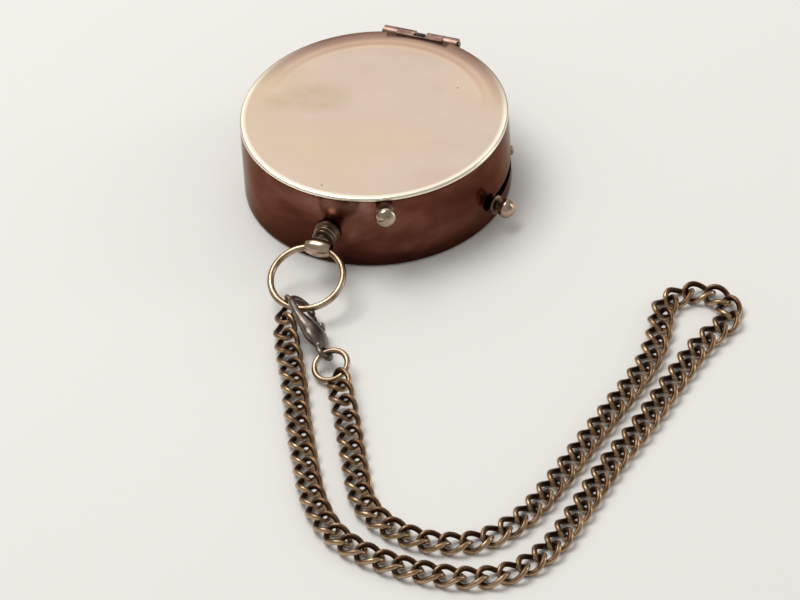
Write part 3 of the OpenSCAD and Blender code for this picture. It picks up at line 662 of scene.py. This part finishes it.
def make_pendant(material):
    """The pendant: a turned stem with two rounded ridges, and an oval bead bored for the bow ring."""
    # Pale bead and ridges, dark grooves: partly wear and patina, partly painted highlight and painted shade
    def worn(point):
        if point.z > PENDANT_REACH - BEAD_H / 2:
            return BEAD_WEAR_AND_SHEEN
        ridge = (math.hypot(point.x, point.y) - GROOVE_R) / (RIDGE_R - GROOVE_R)
        return (FLANGE_WEAR_AND_SHEEN if point.z < FLANGE_END else RIDGE_WEAR_AND_SHEEN) * max(0.0, min(1.0, ridge))

    middle = Vector((0, -CASE_R - PENDANT_REACH, PENDANT_Z))
    stem_end = PENDANT_REACH - BEAD_H / 4
    form = bmesh.new()
    lathe(form, [(0, -WALL), (SPIGOT_R, -WALL), (SPIGOT_R, 0), *STEM,
                 (STEM_END_R, stem_end), (0, stem_end)], segments=96)
    outward = Matrix.Translation((0, -CASE_R, PENDANT_Z)) @ Matrix.Rotation(math.radians(90), 4, "X")
    pendant = make_piece("pendant_turned", form, material, outward, sharp=TURNED_SHARP)
    form = bmesh.new()
    oval = [(r * BEAD_H / 2, x * BEAD_L / 2) for r, x in arc((0, 0), 1, -90, 90, BEAD_STEPS)]
    lathe(form, oval, segments=72)
    along_x = Matrix.Translation(middle) @ Matrix.Rotation(math.radians(90), 4, "Y")
    cut(pendant, make_piece("bead", form, material, along_x), "UNION")
    hole = rod(BOW_HOLE, -BEAD_L, BEAD_L)
    hole.data.transform(Matrix.Translation(middle * MM))
    cut(pendant, hole)
    pendant.data.set_sharp_from_angle(angle=math.radians(TURNED_SHARP))
    mark_crown(pendant, outward, worn)
    return pendant


# Knobs that point outwards: FROM is a distance from the case's axis, and REACH is one from its wall
KNOB_STAND = 0.6
LOCK_ANGLE = 349
LOCK_Z = 4.4
LOCK_FROM = 23.15
LOCK_REACH = 3.2
LOCK_BALL = (3.8, 3.34)
LOCK_STEM_R = 0.9
COLLAR_R = 1.9
COLLAR_T = 0.5
COLLAR_FROM = 1.1
BUTTON_Z = 14.0
BUTTON_FROM = 22.45
BUTTON_REACH = 2.6
BUTTON_BALL = (4.0, 3.0)
BUTTON_STEM_R = 0.8


def make_knob(name, material, angle, height, start, reach, ball, stem_r, collar=False):
    """A turned knob: its stem, a rounded collar if it has one, and an oblate ball of (width, length)."""
    middle = CASE_R + reach
    edge = CASE_R + KNOB_STAND
    bead = COLLAR_T / 2
    rim = COLLAR_R - bead
    disc = [(stem_r, edge), (rim, edge), *arc((rim, edge + bead), bead, -75, 75, 8),
            (rim, edge + COLLAR_T), (stem_r, edge + COLLAR_T)]
    from_angle = -math.degrees(math.acos(2 * stem_r / ball[0]))
    swell = [(r * ball[0] / 2, middle + z * ball[1] / 2) for r, z in arc((0, 0), 1, from_angle, 90, 24)]

    # Pale ball and collar rim, dark stem: partly wear and patina, partly painted highlight and painted shade
    def worn(point):
        if point.z > middle - ball[1] / 2:
            return BALL_WEAR_AND_SHEEN
        return COLLAR_WEAR_AND_SHEEN if math.hypot(point.x, point.y) > COLLAR_FROM * stem_r else 0.0

    form = bmesh.new()
    lathe(form, [(0, start), (stem_r, start), *(disc if collar else []), *swell], segments=72)
    outwards = (Matrix.Rotation(math.radians(angle), 4, "Z") @ Matrix.Translation((0, 0, height))
                @ Matrix.Rotation(math.radians(90), 4, "Y"))
    knob = make_piece(name, form, material, outwards, sharp=TURNED_SHARP)
    mark_crown(knob, outwards, worn)
    return knob


def make_ring(name, material, radius, wire, place, split=0.0):
    """A ring of round wire: closed, or with its two ends meeting at a narrow split."""
    steps = 96
    span = 2 * math.pi - split / radius
    angles = [span * i / (steps if not split else steps - 1) for i in range(steps)]
    outs = [Vector((math.cos(a), math.sin(a), 0)) for a in angles]
    form = bmesh.new()
    radii = [(wire / 2, wire / 2)] * steps
    sweep(form, [radius * out for out in outs], outs, radii, sides=20, closed=not split)
    return make_piece(name, form, material, place)


# Clasp, in its own frame: the hook's centre is the origin and the tail lies along X
BOW_END_Z = 3.6
BOW_Y = -(CASE_R + PENDANT_REACH)
BOW_TILT = math.asin((PENDANT_Z - BOW_END_Z) / (2 * BOW_R))
BOW_PLACE = (Matrix.Translation((0, BOW_Y, PENDANT_Z)) @ Matrix.Rotation(BOW_TILT, 4, "X")
             @ Matrix.Translation((0, -BOW_R, 0)))
CLASP_AT = 12
CLASP_HEADING = -50
CLASP_ROLL = -45
CLASP_L = 12.6
HOOK_PLAY = 0.1
HOOK_R = 1.9
HOOK_WIRE = 1.4
HOOK_START = 75
HOOK_END = 262
HOOK_STEPS = 22
HOOK_TAPER = (0.6, 0.86, 0.96)
EYE_Z = 3
EYE_R = 1.0
EYE_WIRE = 1.0
GATE_PIVOT = Vector((5.4, 1.5, 0))
GATE_T = 0.9
GATE_PLAY = 0.02
SLOT_PLAY = 0.1
SLOT_FORE = 2.3
SLOT_AFT = 1.6
SLOT_UP = 3
CHEEK_R = 1.15
CHEEK_Z = 1.2
CHEEK_ROUND = 0.35
RIVET_R = 0.45
RIVET_L = 3
RIVET_HEAD_R = 0.69
RIVET_HEAD_T = 0.3
RIVET_DOME_R = 0.7
RIVET_DOME_Z = 0.35

# The clasp's body as rows of x, y, width and thickness
CLASP_BELLY = [
    (0.8, -2.62, 1.5, 1.5), (1.9, -2.52, 1.65, 1.6), (3.0, -2.25, 2.05, 1.85), (4.0, -1.8, 2.75, 2.2),
    (4.9, -1.25, 3.65, 2.6), (5.7, -0.8, 4.55, 2.95), (6.5, -0.45, 5.25, 3.15), (7.4, -0.2, 5.6, 3.2),
    (8.3, -0.05, 5.5, 3.1), (9.2, 0, 4.95, 2.8), (10.0, 0, 4.1, 2.35), (10.7, 0, 3.1, 1.85),
    (11.3, 0, 2.1, 1.4), (11.8, 0, 1.4, 1.1)]

# The gate's spine as rows of x, y and width, and its thumb tab as rows of x, y and two radii
GATE_SPINE = [
    (1.2, 2.55, 0.5), (1.35, 2.54, 0.75), (2.2, 2.46, 0.85), (3.1, 2.28, 0.9), (3.9, 2.05, 1.0),
    (4.7, 1.78, 1.2), (5.4, 1.5, 1.5), (5.9, 1.3, 1.2)]
GATE_TAB = [(3.7, 2.2, 0.5, 0.42), (3.75, 2.6, 0.6, 0.44), (3.85, 2.95, 0.55, 0.42), (3.95, 3.15, 0.3, 0.25)]


def bow_point(angle):
    """Middle of the bow ring's wire at an angle from its outer end."""
    a = math.radians(angle)
    d = BOW_R * (1 + math.cos(a))
    return Vector((BOW_R * math.sin(a), BOW_Y - d * math.cos(BOW_TILT), PENDANT_Z - d * math.sin(BOW_TILT)))


def direction(heading, down):
    """Unit vector at a heading on the surface and an angle down from it, in radians."""
    return Vector((math.cos(heading) * math.cos(down), math.sin(heading) * math.cos(down), -math.sin(down)))


CLASP_PITCH = math.asin((bow_point(CLASP_AT).z - EYE_Z) / CLASP_L)
CLASP_TURN = Euler((math.radians(CLASP_ROLL), CLASP_PITCH, math.radians(CLASP_HEADING)))
CLASP_PLACE = (Matrix.Translation(bow_point(CLASP_AT)) @ CLASP_TURN.to_matrix().to_4x4()
               @ Matrix.Translation((HOOK_PLAY, 0, 0)))


def make_clasp(material):
    """The clasp: a hook that swells into a claw-shaped body, slotted for its gate, and a tail eye."""
    bend = arc((0, 0), HOOK_R + HOOK_WIRE / 2, HOOK_START, HOOK_END, HOOK_STEPS)
    hook = [Vector((x, y, 0)) for x, y in bend]
    taper = [*HOOK_TAPER, *[1.0] * (len(hook) - len(HOOK_TAPER))]
    centres = hook + [Vector((x, y, 0)) for x, y, _, _ in CLASP_BELLY]
    outs = [c.normalized() for c in hook] + [Vector((0, -1, 0))] * len(CLASP_BELLY)
    radii = [(share * HOOK_WIRE / 2, share * HOOK_WIRE / 2) for share in taper]
    radii += [(width / 2, thick / 2) for _, _, width, thick in CLASP_BELLY]
    form = bmesh.new()
    sweep(form, centres, outs, radii, sides=28)
    body = make_piece("clasp_body_claw", form, material, sharp=60)
    tail = Vector((CLASP_L, 0, 0))
    steps = 40
    eye = [Vector((math.cos(a), math.sin(a), 0)) for a in (2 * math.pi * i / steps for i in range(steps))]
    form = bmesh.new()
    wire = [(EYE_WIRE / 2, EYE_WIRE / 2)] * steps
    sweep(form, [tail + (EYE_R + EYE_WIRE / 2) * e for e in eye], eye, wire, sides=16, closed=True)
    cut(body, make_piece("eye", form, material), "UNION")
    shoulder = arc((CHEEK_R - CHEEK_ROUND, CHEEK_Z - CHEEK_ROUND), CHEEK_ROUND, 0, 90, 6)
    form = bmesh.new()
    lathe(form, [(0, -CHEEK_Z), *[(r, -z) for r, z in reversed(shoulder)], *shoulder, (0, CHEEK_Z)],
          segments=40)
    cut(body, make_piece("cheeks", form, material, Matrix.Translation(GATE_PIVOT)), "UNION")
    side = GATE_T / 2 + SLOT_PLAY
    cut(body, block((GATE_PIVOT.x - SLOT_FORE, GATE_PIVOT.y - GATE_T, -side),
                    (GATE_PIVOT.x + SLOT_AFT, GATE_PIVOT.y + SLOT_UP, side)))
    body.data.transform(Matrix.Scale(MM, 4) @ CLASP_PLACE @ Matrix.Scale(1 / MM, 4))
    return body


def make_gate(material):
    """The gate: a slim curved lever that closes the hook, with its thumb tab."""
    form = bmesh.new()
    sweep(form, [Vector((x, y, 0)) for x, y, _ in GATE_SPINE], [Vector((0, 1, 0))] * len(GATE_SPINE),
          [(w / 2, GATE_T / 2 - GATE_PLAY) for _, _, w in GATE_SPINE], sides=20)
    sweep(form, [Vector((x, y, 0)) for x, y, _, _ in GATE_TAB], [Vector((1, 0, 0))] * len(GATE_TAB),
          [(out, across) for _, _, out, across in GATE_TAB], sides=16)
    return make_piece("clasp_lever_curved", form, material, CLASP_PLACE, sharp=60)


def make_rivet(material):
    """The gate's rivet, with its two domed heads."""
    base = RIVET_L / 2 - RIVET_HEAD_T
    dome = arc((0, RIVET_L / 2 - RIVET_DOME_Z), RIVET_DOME_R, 8, 90, 6)
    upper = [(RIVET_R, base), (RIVET_HEAD_R, base), *dome]
    lower = [(r, -z) for r, z in reversed(upper)]
    form = bmesh.new()
    lathe(form, [*lower, *upper], segments=32)
    return make_piece("clasp_rivet_domed", form, material, CLASP_PLACE @ Matrix.Translation(GATE_PIVOT))


# Jump ring, in the clasp's tail eye
JUMP_R = 3.2
JUMP_WIRE = 1.1
JUMP_HEADING = -48
JUMP_ROLL = 20
JUMP_END_Z = 1.9
JUMP_PLAY = 0.1
JUMP_SPLIT = 0.06
JUMP_SPLIT_TURN = 235
EYE_MID = bow_point(CLASP_AT) + (CLASP_L + HOOK_PLAY) * direction(math.radians(CLASP_HEADING), CLASP_PITCH)
JUMP_TILT = math.asin((EYE_Z - JUMP_END_Z) / (2 * JUMP_R))
JUMP_AHEAD = direction(math.radians(JUMP_HEADING), JUMP_TILT)
JUMP_TURN = Euler((math.radians(JUMP_ROLL), JUMP_TILT, math.radians(JUMP_HEADING)))
JUMP_PLACE = (Matrix.Translation(EYE_MID + (JUMP_R + JUMP_PLAY) * JUMP_AHEAD) @ JUMP_TURN.to_matrix().to_4x4()
              @ Matrix.Rotation(math.radians(JUMP_SPLIT_TURN), 4, "Z"))

# Curb chain. Route points where it lies are x, y and the rise above its resting height
LINK_AT = -14
LINK_L = 6.5
LINK_W = 5.2
LINK_WIRE = 1.05
LINK_TWIST = -45
LINK_PITCH = 3.9
LINK_PLAY = 0.38
REST_SHARE = 1.06
RING_END_ROLL = 48
FAR_END_ROLL = 24
ROLL_LINKS = 4
LINK_STEPS = 28
LINK_SIDES = 10
REST_STEPS = 12
ROUTE_STEPS = 8
LEAD_OUTER = 12
LEAD_INNER = 8
LAID = [
    (-0.5, -47.4, 1.3), (1.7, -52, 0.8), (6.2, -60.5, 0.3), (11, -70.5, 0),
    (16.2, -80.5, 0), (21.6, -90, 0), (28, -97, 0), (35.5, -100.5, 0),
    (45, -101.9, 0), (55, -101, 0), (62.4, -96.9, 0), (66.6, -89.1, 0),
    (68.2, -78.5, 0), (69.4, -65.5, 0), (71.6, -52.5, 0), (73, -40, 0), (74.3, -30, 0),
    (76, -24, 0), (77, -20.5, 0), (76, -17, 0), (73, -14.7, 0), (69.3, -14.6, 0),
    (66.2, -16.6, 0), (64.7, -20, 0), (65.2, -24, 0), (66.4, -30, 0), (66.6, -38.5, 0), (65, -49.5, 0),
    (63.2, -61.5, 0), (61.4, -73.5, 0), (59, -83.5, 0), (54, -91, 0), (46, -94, 0),
    (37.6, -92.8, 0), (30.6, -88, 0), (25.6, -79.5, 0), (20.4, -69.5, 0.45), (16.2, -62, 1.1)]


def link_point(a):
    """Point of a link's middle line: an oval whose ends are twisted against its sides."""
    turn = math.radians(LINK_TWIST) * math.cos(a)
    w = (LINK_W - LINK_WIRE) / 2 * math.sin(a)
    return Vector(((LINK_L - LINK_WIRE) / 2 * math.cos(a), w * math.cos(turn), w * math.sin(turn)))


def route_mix(a, b, c, d, t):
    """A smooth curve through neighbouring points: how it runs from the second of four to the third."""
    return 0.5 * (2 * b + (c - a) * t + (2 * a - 5 * b + 4 * c - d) * t * t
                  + (3 * b - a - 3 * c + d) * t ** 3)


def link_places():
    """Middle and turn of every link, laid along the route at even steps."""
    # A link's middle rests as high as its middle line dips, and a little more than half its wire
    rest = max(link_point(2 * math.pi * (i + 0.5) / REST_STEPS).z for i in range(REST_STEPS))
    rest += REST_SHARE * LINK_WIRE / 2
    far_wire = EYE_MID + (2 * JUMP_R + JUMP_PLAY) * JUMP_AHEAD
    points = [bow_point(LINK_AT), *[Vector(p) + rest * Z for p in LAID], far_wire]
    last = len(points) - 1
    route = []
    for i in range(last):
        four = [points[min(last, max(0, i + k))] for k in (-1, 0, 1, 2)]
        route += [route_mix(*four, k / ROUTE_STEPS) for k in range(ROUTE_STEPS)]
    route.append(points[last])
    runs = [0.0]
    for near, far in zip(route, route[1:]):
        runs.append(runs[-1] + (far - near).length)

    def along(s):
        i = max(k for k in range(len(runs) - 1) if runs[k] <= s or k == 0)
        t = (s - runs[i]) / (runs[i + 1] - runs[i])
        return route[i].lerp(route[i + 1], t)

    hang = LINK_L / 2 - LINK_WIRE - LINK_PLAY
    first = hang - BOW_WIRE / 2
    length = runs[-1] - first - (hang - JUMP_WIRE / 2)
    count = 1 + round(length / LINK_PITCH)
    step = length / (count - 1)
    places = []
    for i in range(count):
        s = first + i * step
        d = along(min(runs[-1], s + step / 2)) - along(max(0, s - step / 2))
        near_end = max(0, 1 - (count - 1 - i) / ROLL_LINKS)
        roll = RING_END_ROLL * max(0, 1 - i / ROLL_LINKS) - FAR_END_ROLL * near_end
        places.append((along(s), (math.radians(roll), -math.asin(d.z / d.length), math.atan2(d.y, d.x))))
    return places


def make_link(material):
    """One twisted curb link, with how far each point stands out of the link kept as its crown."""
    form = bmesh.new()
    crown = form.verts.layers.float.new("crown")
    centres = [link_point(2 * math.pi * i / LINK_STEPS) for i in range(LINK_STEPS)]
    wire = [(LINK_WIRE / 2, LINK_WIRE / 2)] * LINK_STEPS
    rings = sweep(form, centres, centres, wire, LINK_SIDES, closed=True)
    # The outer side of the wire is 1 and the inner side 0, which the chain's material paints as wear and
    # highlight outside and as patina and shade inside
    for ring in rings:
        for k, vertex in enumerate(ring):
            vertex[crown] = 0.5 + 0.5 * math.cos(2 * math.pi * k / LINK_SIDES)
    return make_piece("curb_link", form, material, sharp=80)


def links_tree():
    """Geometry nodes that put a link at every point, turned as the point says."""
    tree = new_tree("laid_links", "Chain", {
        "Points": "Geometry", "Link": "Object", "Link size": "Float", "Metal": "Material"})
    start = add(tree, "NodeGroupInput").outputs
    link = add(tree, "GeometryNodeObjectInfo", {"Object": start["Link"]})
    turn = add(tree, "GeometryNodeInputNamedAttribute", {"Name": "turn"}, data_type="FLOAT_VECTOR")
    facing = add(tree, "FunctionNodeEulerToRotation", {"Euler": turn.outputs["Attribute"]})
    laid = add(tree, "GeometryNodeInstanceOnPoints", {
        "Points": start["Points"], "Instance": link.outputs["Geometry"],
        "Rotation": facing.outputs["Rotation"], "Scale": start["Link size"]})
    real = add(tree, "GeometryNodeRealizeInstances", {"Geometry": laid.outputs["Instances"]})
    metal = add(tree, "GeometryNodeSetMaterial", {
        "Geometry": real.outputs["Geometry"], "Material": start["Metal"]})
    add(tree, "NodeGroupOutput", {"Chain": metal.outputs["Geometry"]})
    return tree


def make_chain(name, places, link, tree, metal):
    """A run of links as one piece."""
    mesh = bpy.data.meshes.new(name)
    mesh.from_pydata([p * MM for p, _ in places], [], [])
    turns = mesh.attributes.new("turn", "FLOAT_VECTOR", "POINT")
    for i, (_, turn) in enumerate(places):
        turns.data[i].vector = turn
    chain = show(name, mesh)
    run_tree(chain, tree, link=link, link_size=1.0, metal=metal)
    return chain


# Dial marks, printed on the dial: generic degrees and the four quarters
MARK_T = 0.03
TICK_R = 16.9
FINE_MARKS = 180
FINE_MARK_L = 0.7
FINE_MARK_W = 0.09
TENS_MARKS = 36
TENS_MARK_L = 1.2
TENS_MARK_W = 0.16
TENS_INSET = 0.2
NUMBER_R = 14.2
NUMBER_H = 2.1
LETTER_H = 3.1
SIGN_BOLD = 0.04
LINE_W = 0.08
OUTER_CIRCLE_R = 16.55
INNER_CIRCLE_R = 12.1
ROSE_POINTS = 8
ROSE_REACH = 10.4
ROSE_SHORT = 6.6
ROSE_HALF = 1.0
ROSE_HUB = 2.1
ROSE_WAIST = 0.3


def ticks_tree():
    """Geometry nodes for a ring of marks that point at the middle."""
    tree = new_tree("degree_marks", "Marks", {
        "Geometry": "Geometry", "Count": "Int", "Radius": "Float", "Mark": "Vector", "Ink": "Material"})
    start = add(tree, "NodeGroupInput").outputs
    ring = add(tree, "GeometryNodeMeshCircle", {"Vertices": start["Count"], "Radius": start["Radius"]})
    index = add(tree, "GeometryNodeInputIndex").outputs["Index"]
    step = add(tree, "ShaderNodeMath", {0: math.tau, 1: start["Count"]}, operation="DIVIDE")
    angle = add(tree, "ShaderNodeMath", {0: index, 1: step.outputs["Value"]}, operation="MULTIPLY")
    turn = add(tree, "ShaderNodeCombineXYZ", {"Z": angle.outputs["Value"]})
    facing = add(tree, "FunctionNodeEulerToRotation", {"Euler": turn.outputs["Vector"]})
    mark = add(tree, "GeometryNodeMeshCube", {"Size": start["Mark"]})
    laid = add(tree, "GeometryNodeInstanceOnPoints", {
        "Points": ring.outputs["Mesh"], "Instance": mark.outputs["Mesh"],
        "Rotation": facing.outputs["Rotation"]})
    real = add(tree, "GeometryNodeRealizeInstances", {"Geometry": laid.outputs["Instances"]})
    ink = add(tree, "GeometryNodeSetMaterial", {
        "Geometry": real.outputs["Geometry"], "Material": start["Ink"]})
    add(tree, "NodeGroupOutput", {"Marks": ink.outputs["Geometry"]})
    return tree


def make_ticks(name, tree, ink, count, radius, length, width):
    """One ring of marks on the dial."""
    piece = show(name, bpy.data.meshes.new(name))
    run_tree(piece, tree, count=count, radius=radius * MM,
             mark=(length * MM, width * MM, MARK_T * MM), ink=ink)
    piece.data.transform(Matrix.Translation(Vector((0, 0, DIAL_TOP + MARK_T / 2)) * MM))
    return piece


def make_sign(text, height, radius, bearing, ink):
    """A number or letter on the dial at a bearing from north, read from the rim."""
    words = bpy.data.curves.new("sign_" + text, "FONT")
    words.body = text
    words.size = height * MM
    words.extrude = MARK_T / 2 * MM
    words.offset = SIGN_BOLD * MM
    words.align_x = "CENTER"
    words.align_y = "CENTER"
    sign = show("sign_" + text, words)
    graph = bpy.context.evaluated_depsgraph_get()
    mesh = bpy.data.meshes.new_from_object(sign.evaluated_get(graph))
    bpy.data.objects.remove(sign)
    turn = Matrix.Rotation(math.radians(-bearing), 4, "Z")
    mesh.transform(turn @ Matrix.Translation(Vector((0, radius, DIAL_TOP + MARK_T / 2)) * MM))
    mesh.materials.clear()
    mesh.materials.append(ink)
    return show("dial_sign_" + text, mesh)


def make_rose(name, side, ink):
    """One side of each point of an eight-pointed rose: the other side has another ink."""
    form = bmesh.new()
    for i in range(ROSE_POINTS):
        reach = ROSE_REACH if i % 2 == 0 else ROSE_SHORT
        turn = Matrix.Rotation(2 * math.pi * i / ROSE_POINTS, 3, "Z")
        outline = [Vector((0, ROSE_HUB, DIAL_TOP)), Vector((0, reach, DIAL_TOP)),
                   Vector((side * ROSE_HALF, ROSE_HUB + ROSE_WAIST, DIAL_TOP))]
        lower = [form.verts.new(turn @ p) for p in outline]
        upper = [form.verts.new(turn @ (p + MARK_T * Z)) for p in outline]
        skin(form, [lower, upper], False)
    return make_piece(name, form, ink)


def make_circle(name, radius, ink):
    """A thin printed circle on the dial."""
    form = bmesh.new()
    inner = radius - LINE_W / 2
    outer = radius + LINE_W / 2
    top = DIAL_TOP + MARK_T
    lathe(form, [(inner, DIAL_TOP), (outer, DIAL_TOP), (outer, top), (inner, top)], segments=180)
    return make_piece(name, form, ink)


# Stage and lights. Each lamp has its name, place, width, height and power
FLOOR_COLOUR = "#efece7"
FLOOR_SIZE = 8000
LAMP_AIM = Vector((20, -40, 10))
LAMPS = [
    ("overhead_softbox", (-380, 60, 950), 620, 620, 6.4), ("back_panel", (-380, 900, 830), 1100, 620, 1.75),
    ("right_strip", (900, 500, 260), 260, 700, 1.4)]
WORLD_COLOUR = "#f2f1ef"
WORLD_STRENGTH = 0.46


def make_floor():
    """A pale floor that is only stage."""
    form = bmesh.new()
    bmesh.ops.create_grid(form, x_segments=1, y_segments=1, size=FLOOR_SIZE / 2)
    material, _, _ = new_material("pale_paper", roughness=0.9, base_color=linear(FLOOR_COLOUR))
    make_piece("floor", form, material)


def make_lamp(name, place, width, height, power):
    """A rectangular area lamp that points at the compass."""
    data = bpy.data.lights.new(name, "AREA")
    data.shape = "RECTANGLE"
    data.size = width * MM
    data.size_y = height * MM
    data.energy = power
    facing = (Vector(place) - LAMP_AIM).to_track_quat("Z", "Y").to_matrix().to_4x4()
    show(name, data).matrix_world = Matrix.Translation(Vector(place) * MM) @ facing


def make_lights():
    """An overhead softbox, a panel behind that the lid mirrors, a low strip at the right, and the world."""
    for lamp in LAMPS:
        make_lamp(*lamp)
    world = bpy.data.worlds.new("studio")
    world.use_nodes = True
    ground = world.node_tree.nodes["Background"]
    ground.inputs["Color"].default_value = linear(WORLD_COLOUR)
    ground.inputs["Strength"].default_value = WORLD_STRENGTH
    bpy.context.scene.world = world


# Everything together
lid_metal = lid_brass()
case_metal = case_brass()
knob_metal = knob_brass()
ring_metal = ring_brass()
pendant_metal = pendant_brass()
hinge_metal = hinge_brass()
old_steel = dark_steel()
chain_metal = chain_brass()
clasp_metal = gunmetal()
inner_metal = turned_brass()
steel = bright_steel()
black_ink = dial_ink("black_enamel_ink", "#14120f", "#3a352c")
grey_ink = dial_ink("grey_enamel_ink", "#8f8570", "#a89e88")

# The material of every CAD node
FINISHES = [
    (case_metal, "case_body"), (lid_metal, "lid_plate"),
    (hinge_metal, "case_hinge", "lid_hinge", "button_bush"), (old_steel, "hinge_pin", "lid_spring"),
    (knob_metal, "arm_screw", "lock_knob", "push_button"),
    (inner_metal, "lower_ring", "upper_ring", "retaining_ring", "dial_screws", "needle_cap", "lock_slider"),
    (steel, "pivot_post", "lift_arm", "catch_spring", "catch_screw"), (dial_enamel(), "dial_plate"),
    (gasket_fibre(), "glass_gasket"), (watch_glass(), "glass"), (needle_steel(), "needle"),
    (pendant_metal, "pendant"), (ring_metal, "bow_ring", "jump_ring"),
    (clasp_metal, "clasp_body", "clasp_lever", "clasp_rivet"),
    (chain_metal, "chain_lead_outer", "chain_lead_inner", "chain_front", "chain_side_outer", "chain_far_turn",
     "chain_side_inner", "chain_corner")]
for metal, *nodes in FINISHES:
    for node in nodes:
        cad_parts[node].material_slots[0].material = metal


def stand_for(piece, body, slot, *nodes):
    """Puts a piece on its body in place of the CAD nodes that it stands for."""
    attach(piece, body)
    if nodes:
        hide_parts(*nodes)


stand_for(make_lid(lid_metal), "lid", "lid_brass", "lid_plate")
stand_for(make_pendant(pendant_metal), "case", "knob_brass", "pendant")
stand_for(make_knob("lock_knob_turned", pendant_metal, LOCK_ANGLE, LOCK_Z, LOCK_FROM, LOCK_REACH, LOCK_BALL,
                    LOCK_STEM_R, True), "lock_lever", "knob_brass", "lock_knob")
stand_for(make_knob("push_button_turned", knob_metal, BUTTON_ANGLE, BUTTON_Z, BUTTON_FROM, BUTTON_REACH,
                    BUTTON_BALL, BUTTON_STEM_R), "push_button", "knob_brass", "push_button")
stand_for(make_ring("bow_ring_wire", ring_metal, BOW_R, BOW_WIRE, BOW_PLACE), "bow", "knob_brass", "bow_ring")
stand_for(make_ring("jump_ring_split", ring_metal, JUMP_R, JUMP_WIRE, JUMP_PLACE, JUMP_SPLIT),
          "chain_lead", "chain_brass", "jump_ring")
stand_for(make_clasp(clasp_metal), "clasp", "clasp_metal", "clasp_body")
stand_for(make_rivet(clasp_metal), "clasp", "clasp_metal", "clasp_rivet")
stand_for(make_gate(clasp_metal), "clasp_lever", "clasp_metal", "clasp_lever")

all_places = link_places()
one_link = make_link(chain_metal)
laying = links_tree()
lead = all_places[:LEAD_OUTER] + all_places[-LEAD_INNER:]
loop = all_places[LEAD_OUTER:-LEAD_INNER]
stand_for(make_chain("chain_lead_links", lead, one_link, laying, chain_metal),
          "chain_lead", "chain_brass", "chain_lead_outer", "chain_lead_inner")
stand_for(make_chain("chain_loop_links", loop, one_link, laying, chain_metal), "chain_loop", "chain_brass",
          "chain_front", "chain_side_outer", "chain_far_turn", "chain_side_inner", "chain_corner")
bpy.data.objects.remove(one_link)

marking = ticks_tree()
stand_for(make_ticks("dial_degrees_fine", marking, black_ink, FINE_MARKS, TICK_R, FINE_MARK_L, FINE_MARK_W),
          "case", "dial")
stand_for(make_ticks("dial_degrees_tens", marking, black_ink, TENS_MARKS, TICK_R - TENS_INSET, TENS_MARK_L,
                     TENS_MARK_W), "case", "dial")
for bearing in range(30, 360, 30):
    if bearing % 90:
        stand_for(make_sign(str(bearing), NUMBER_H, NUMBER_R, bearing, black_ink), "case", "dial")
for letter, bearing in (("N", 0), ("E", 90), ("S", 180), ("W", 270)):
    stand_for(make_sign(letter, LETTER_H, NUMBER_R, bearing, black_ink), "case", "dial")
stand_for(make_rose("dial_rose_dark", 1, black_ink), "case", "dial")
stand_for(make_rose("dial_rose_grey", -1, grey_ink), "case", "dial")
stand_for(make_circle("dial_circle_outer", OUTER_CIRCLE_R, black_ink), "case", "dial")
stand_for(make_circle("dial_circle_inner", INNER_CIRCLE_R, black_ink), "case", "dial")

make_floor()
make_lights()
bpy.context.scene.view_settings.view_transform = "Standard"
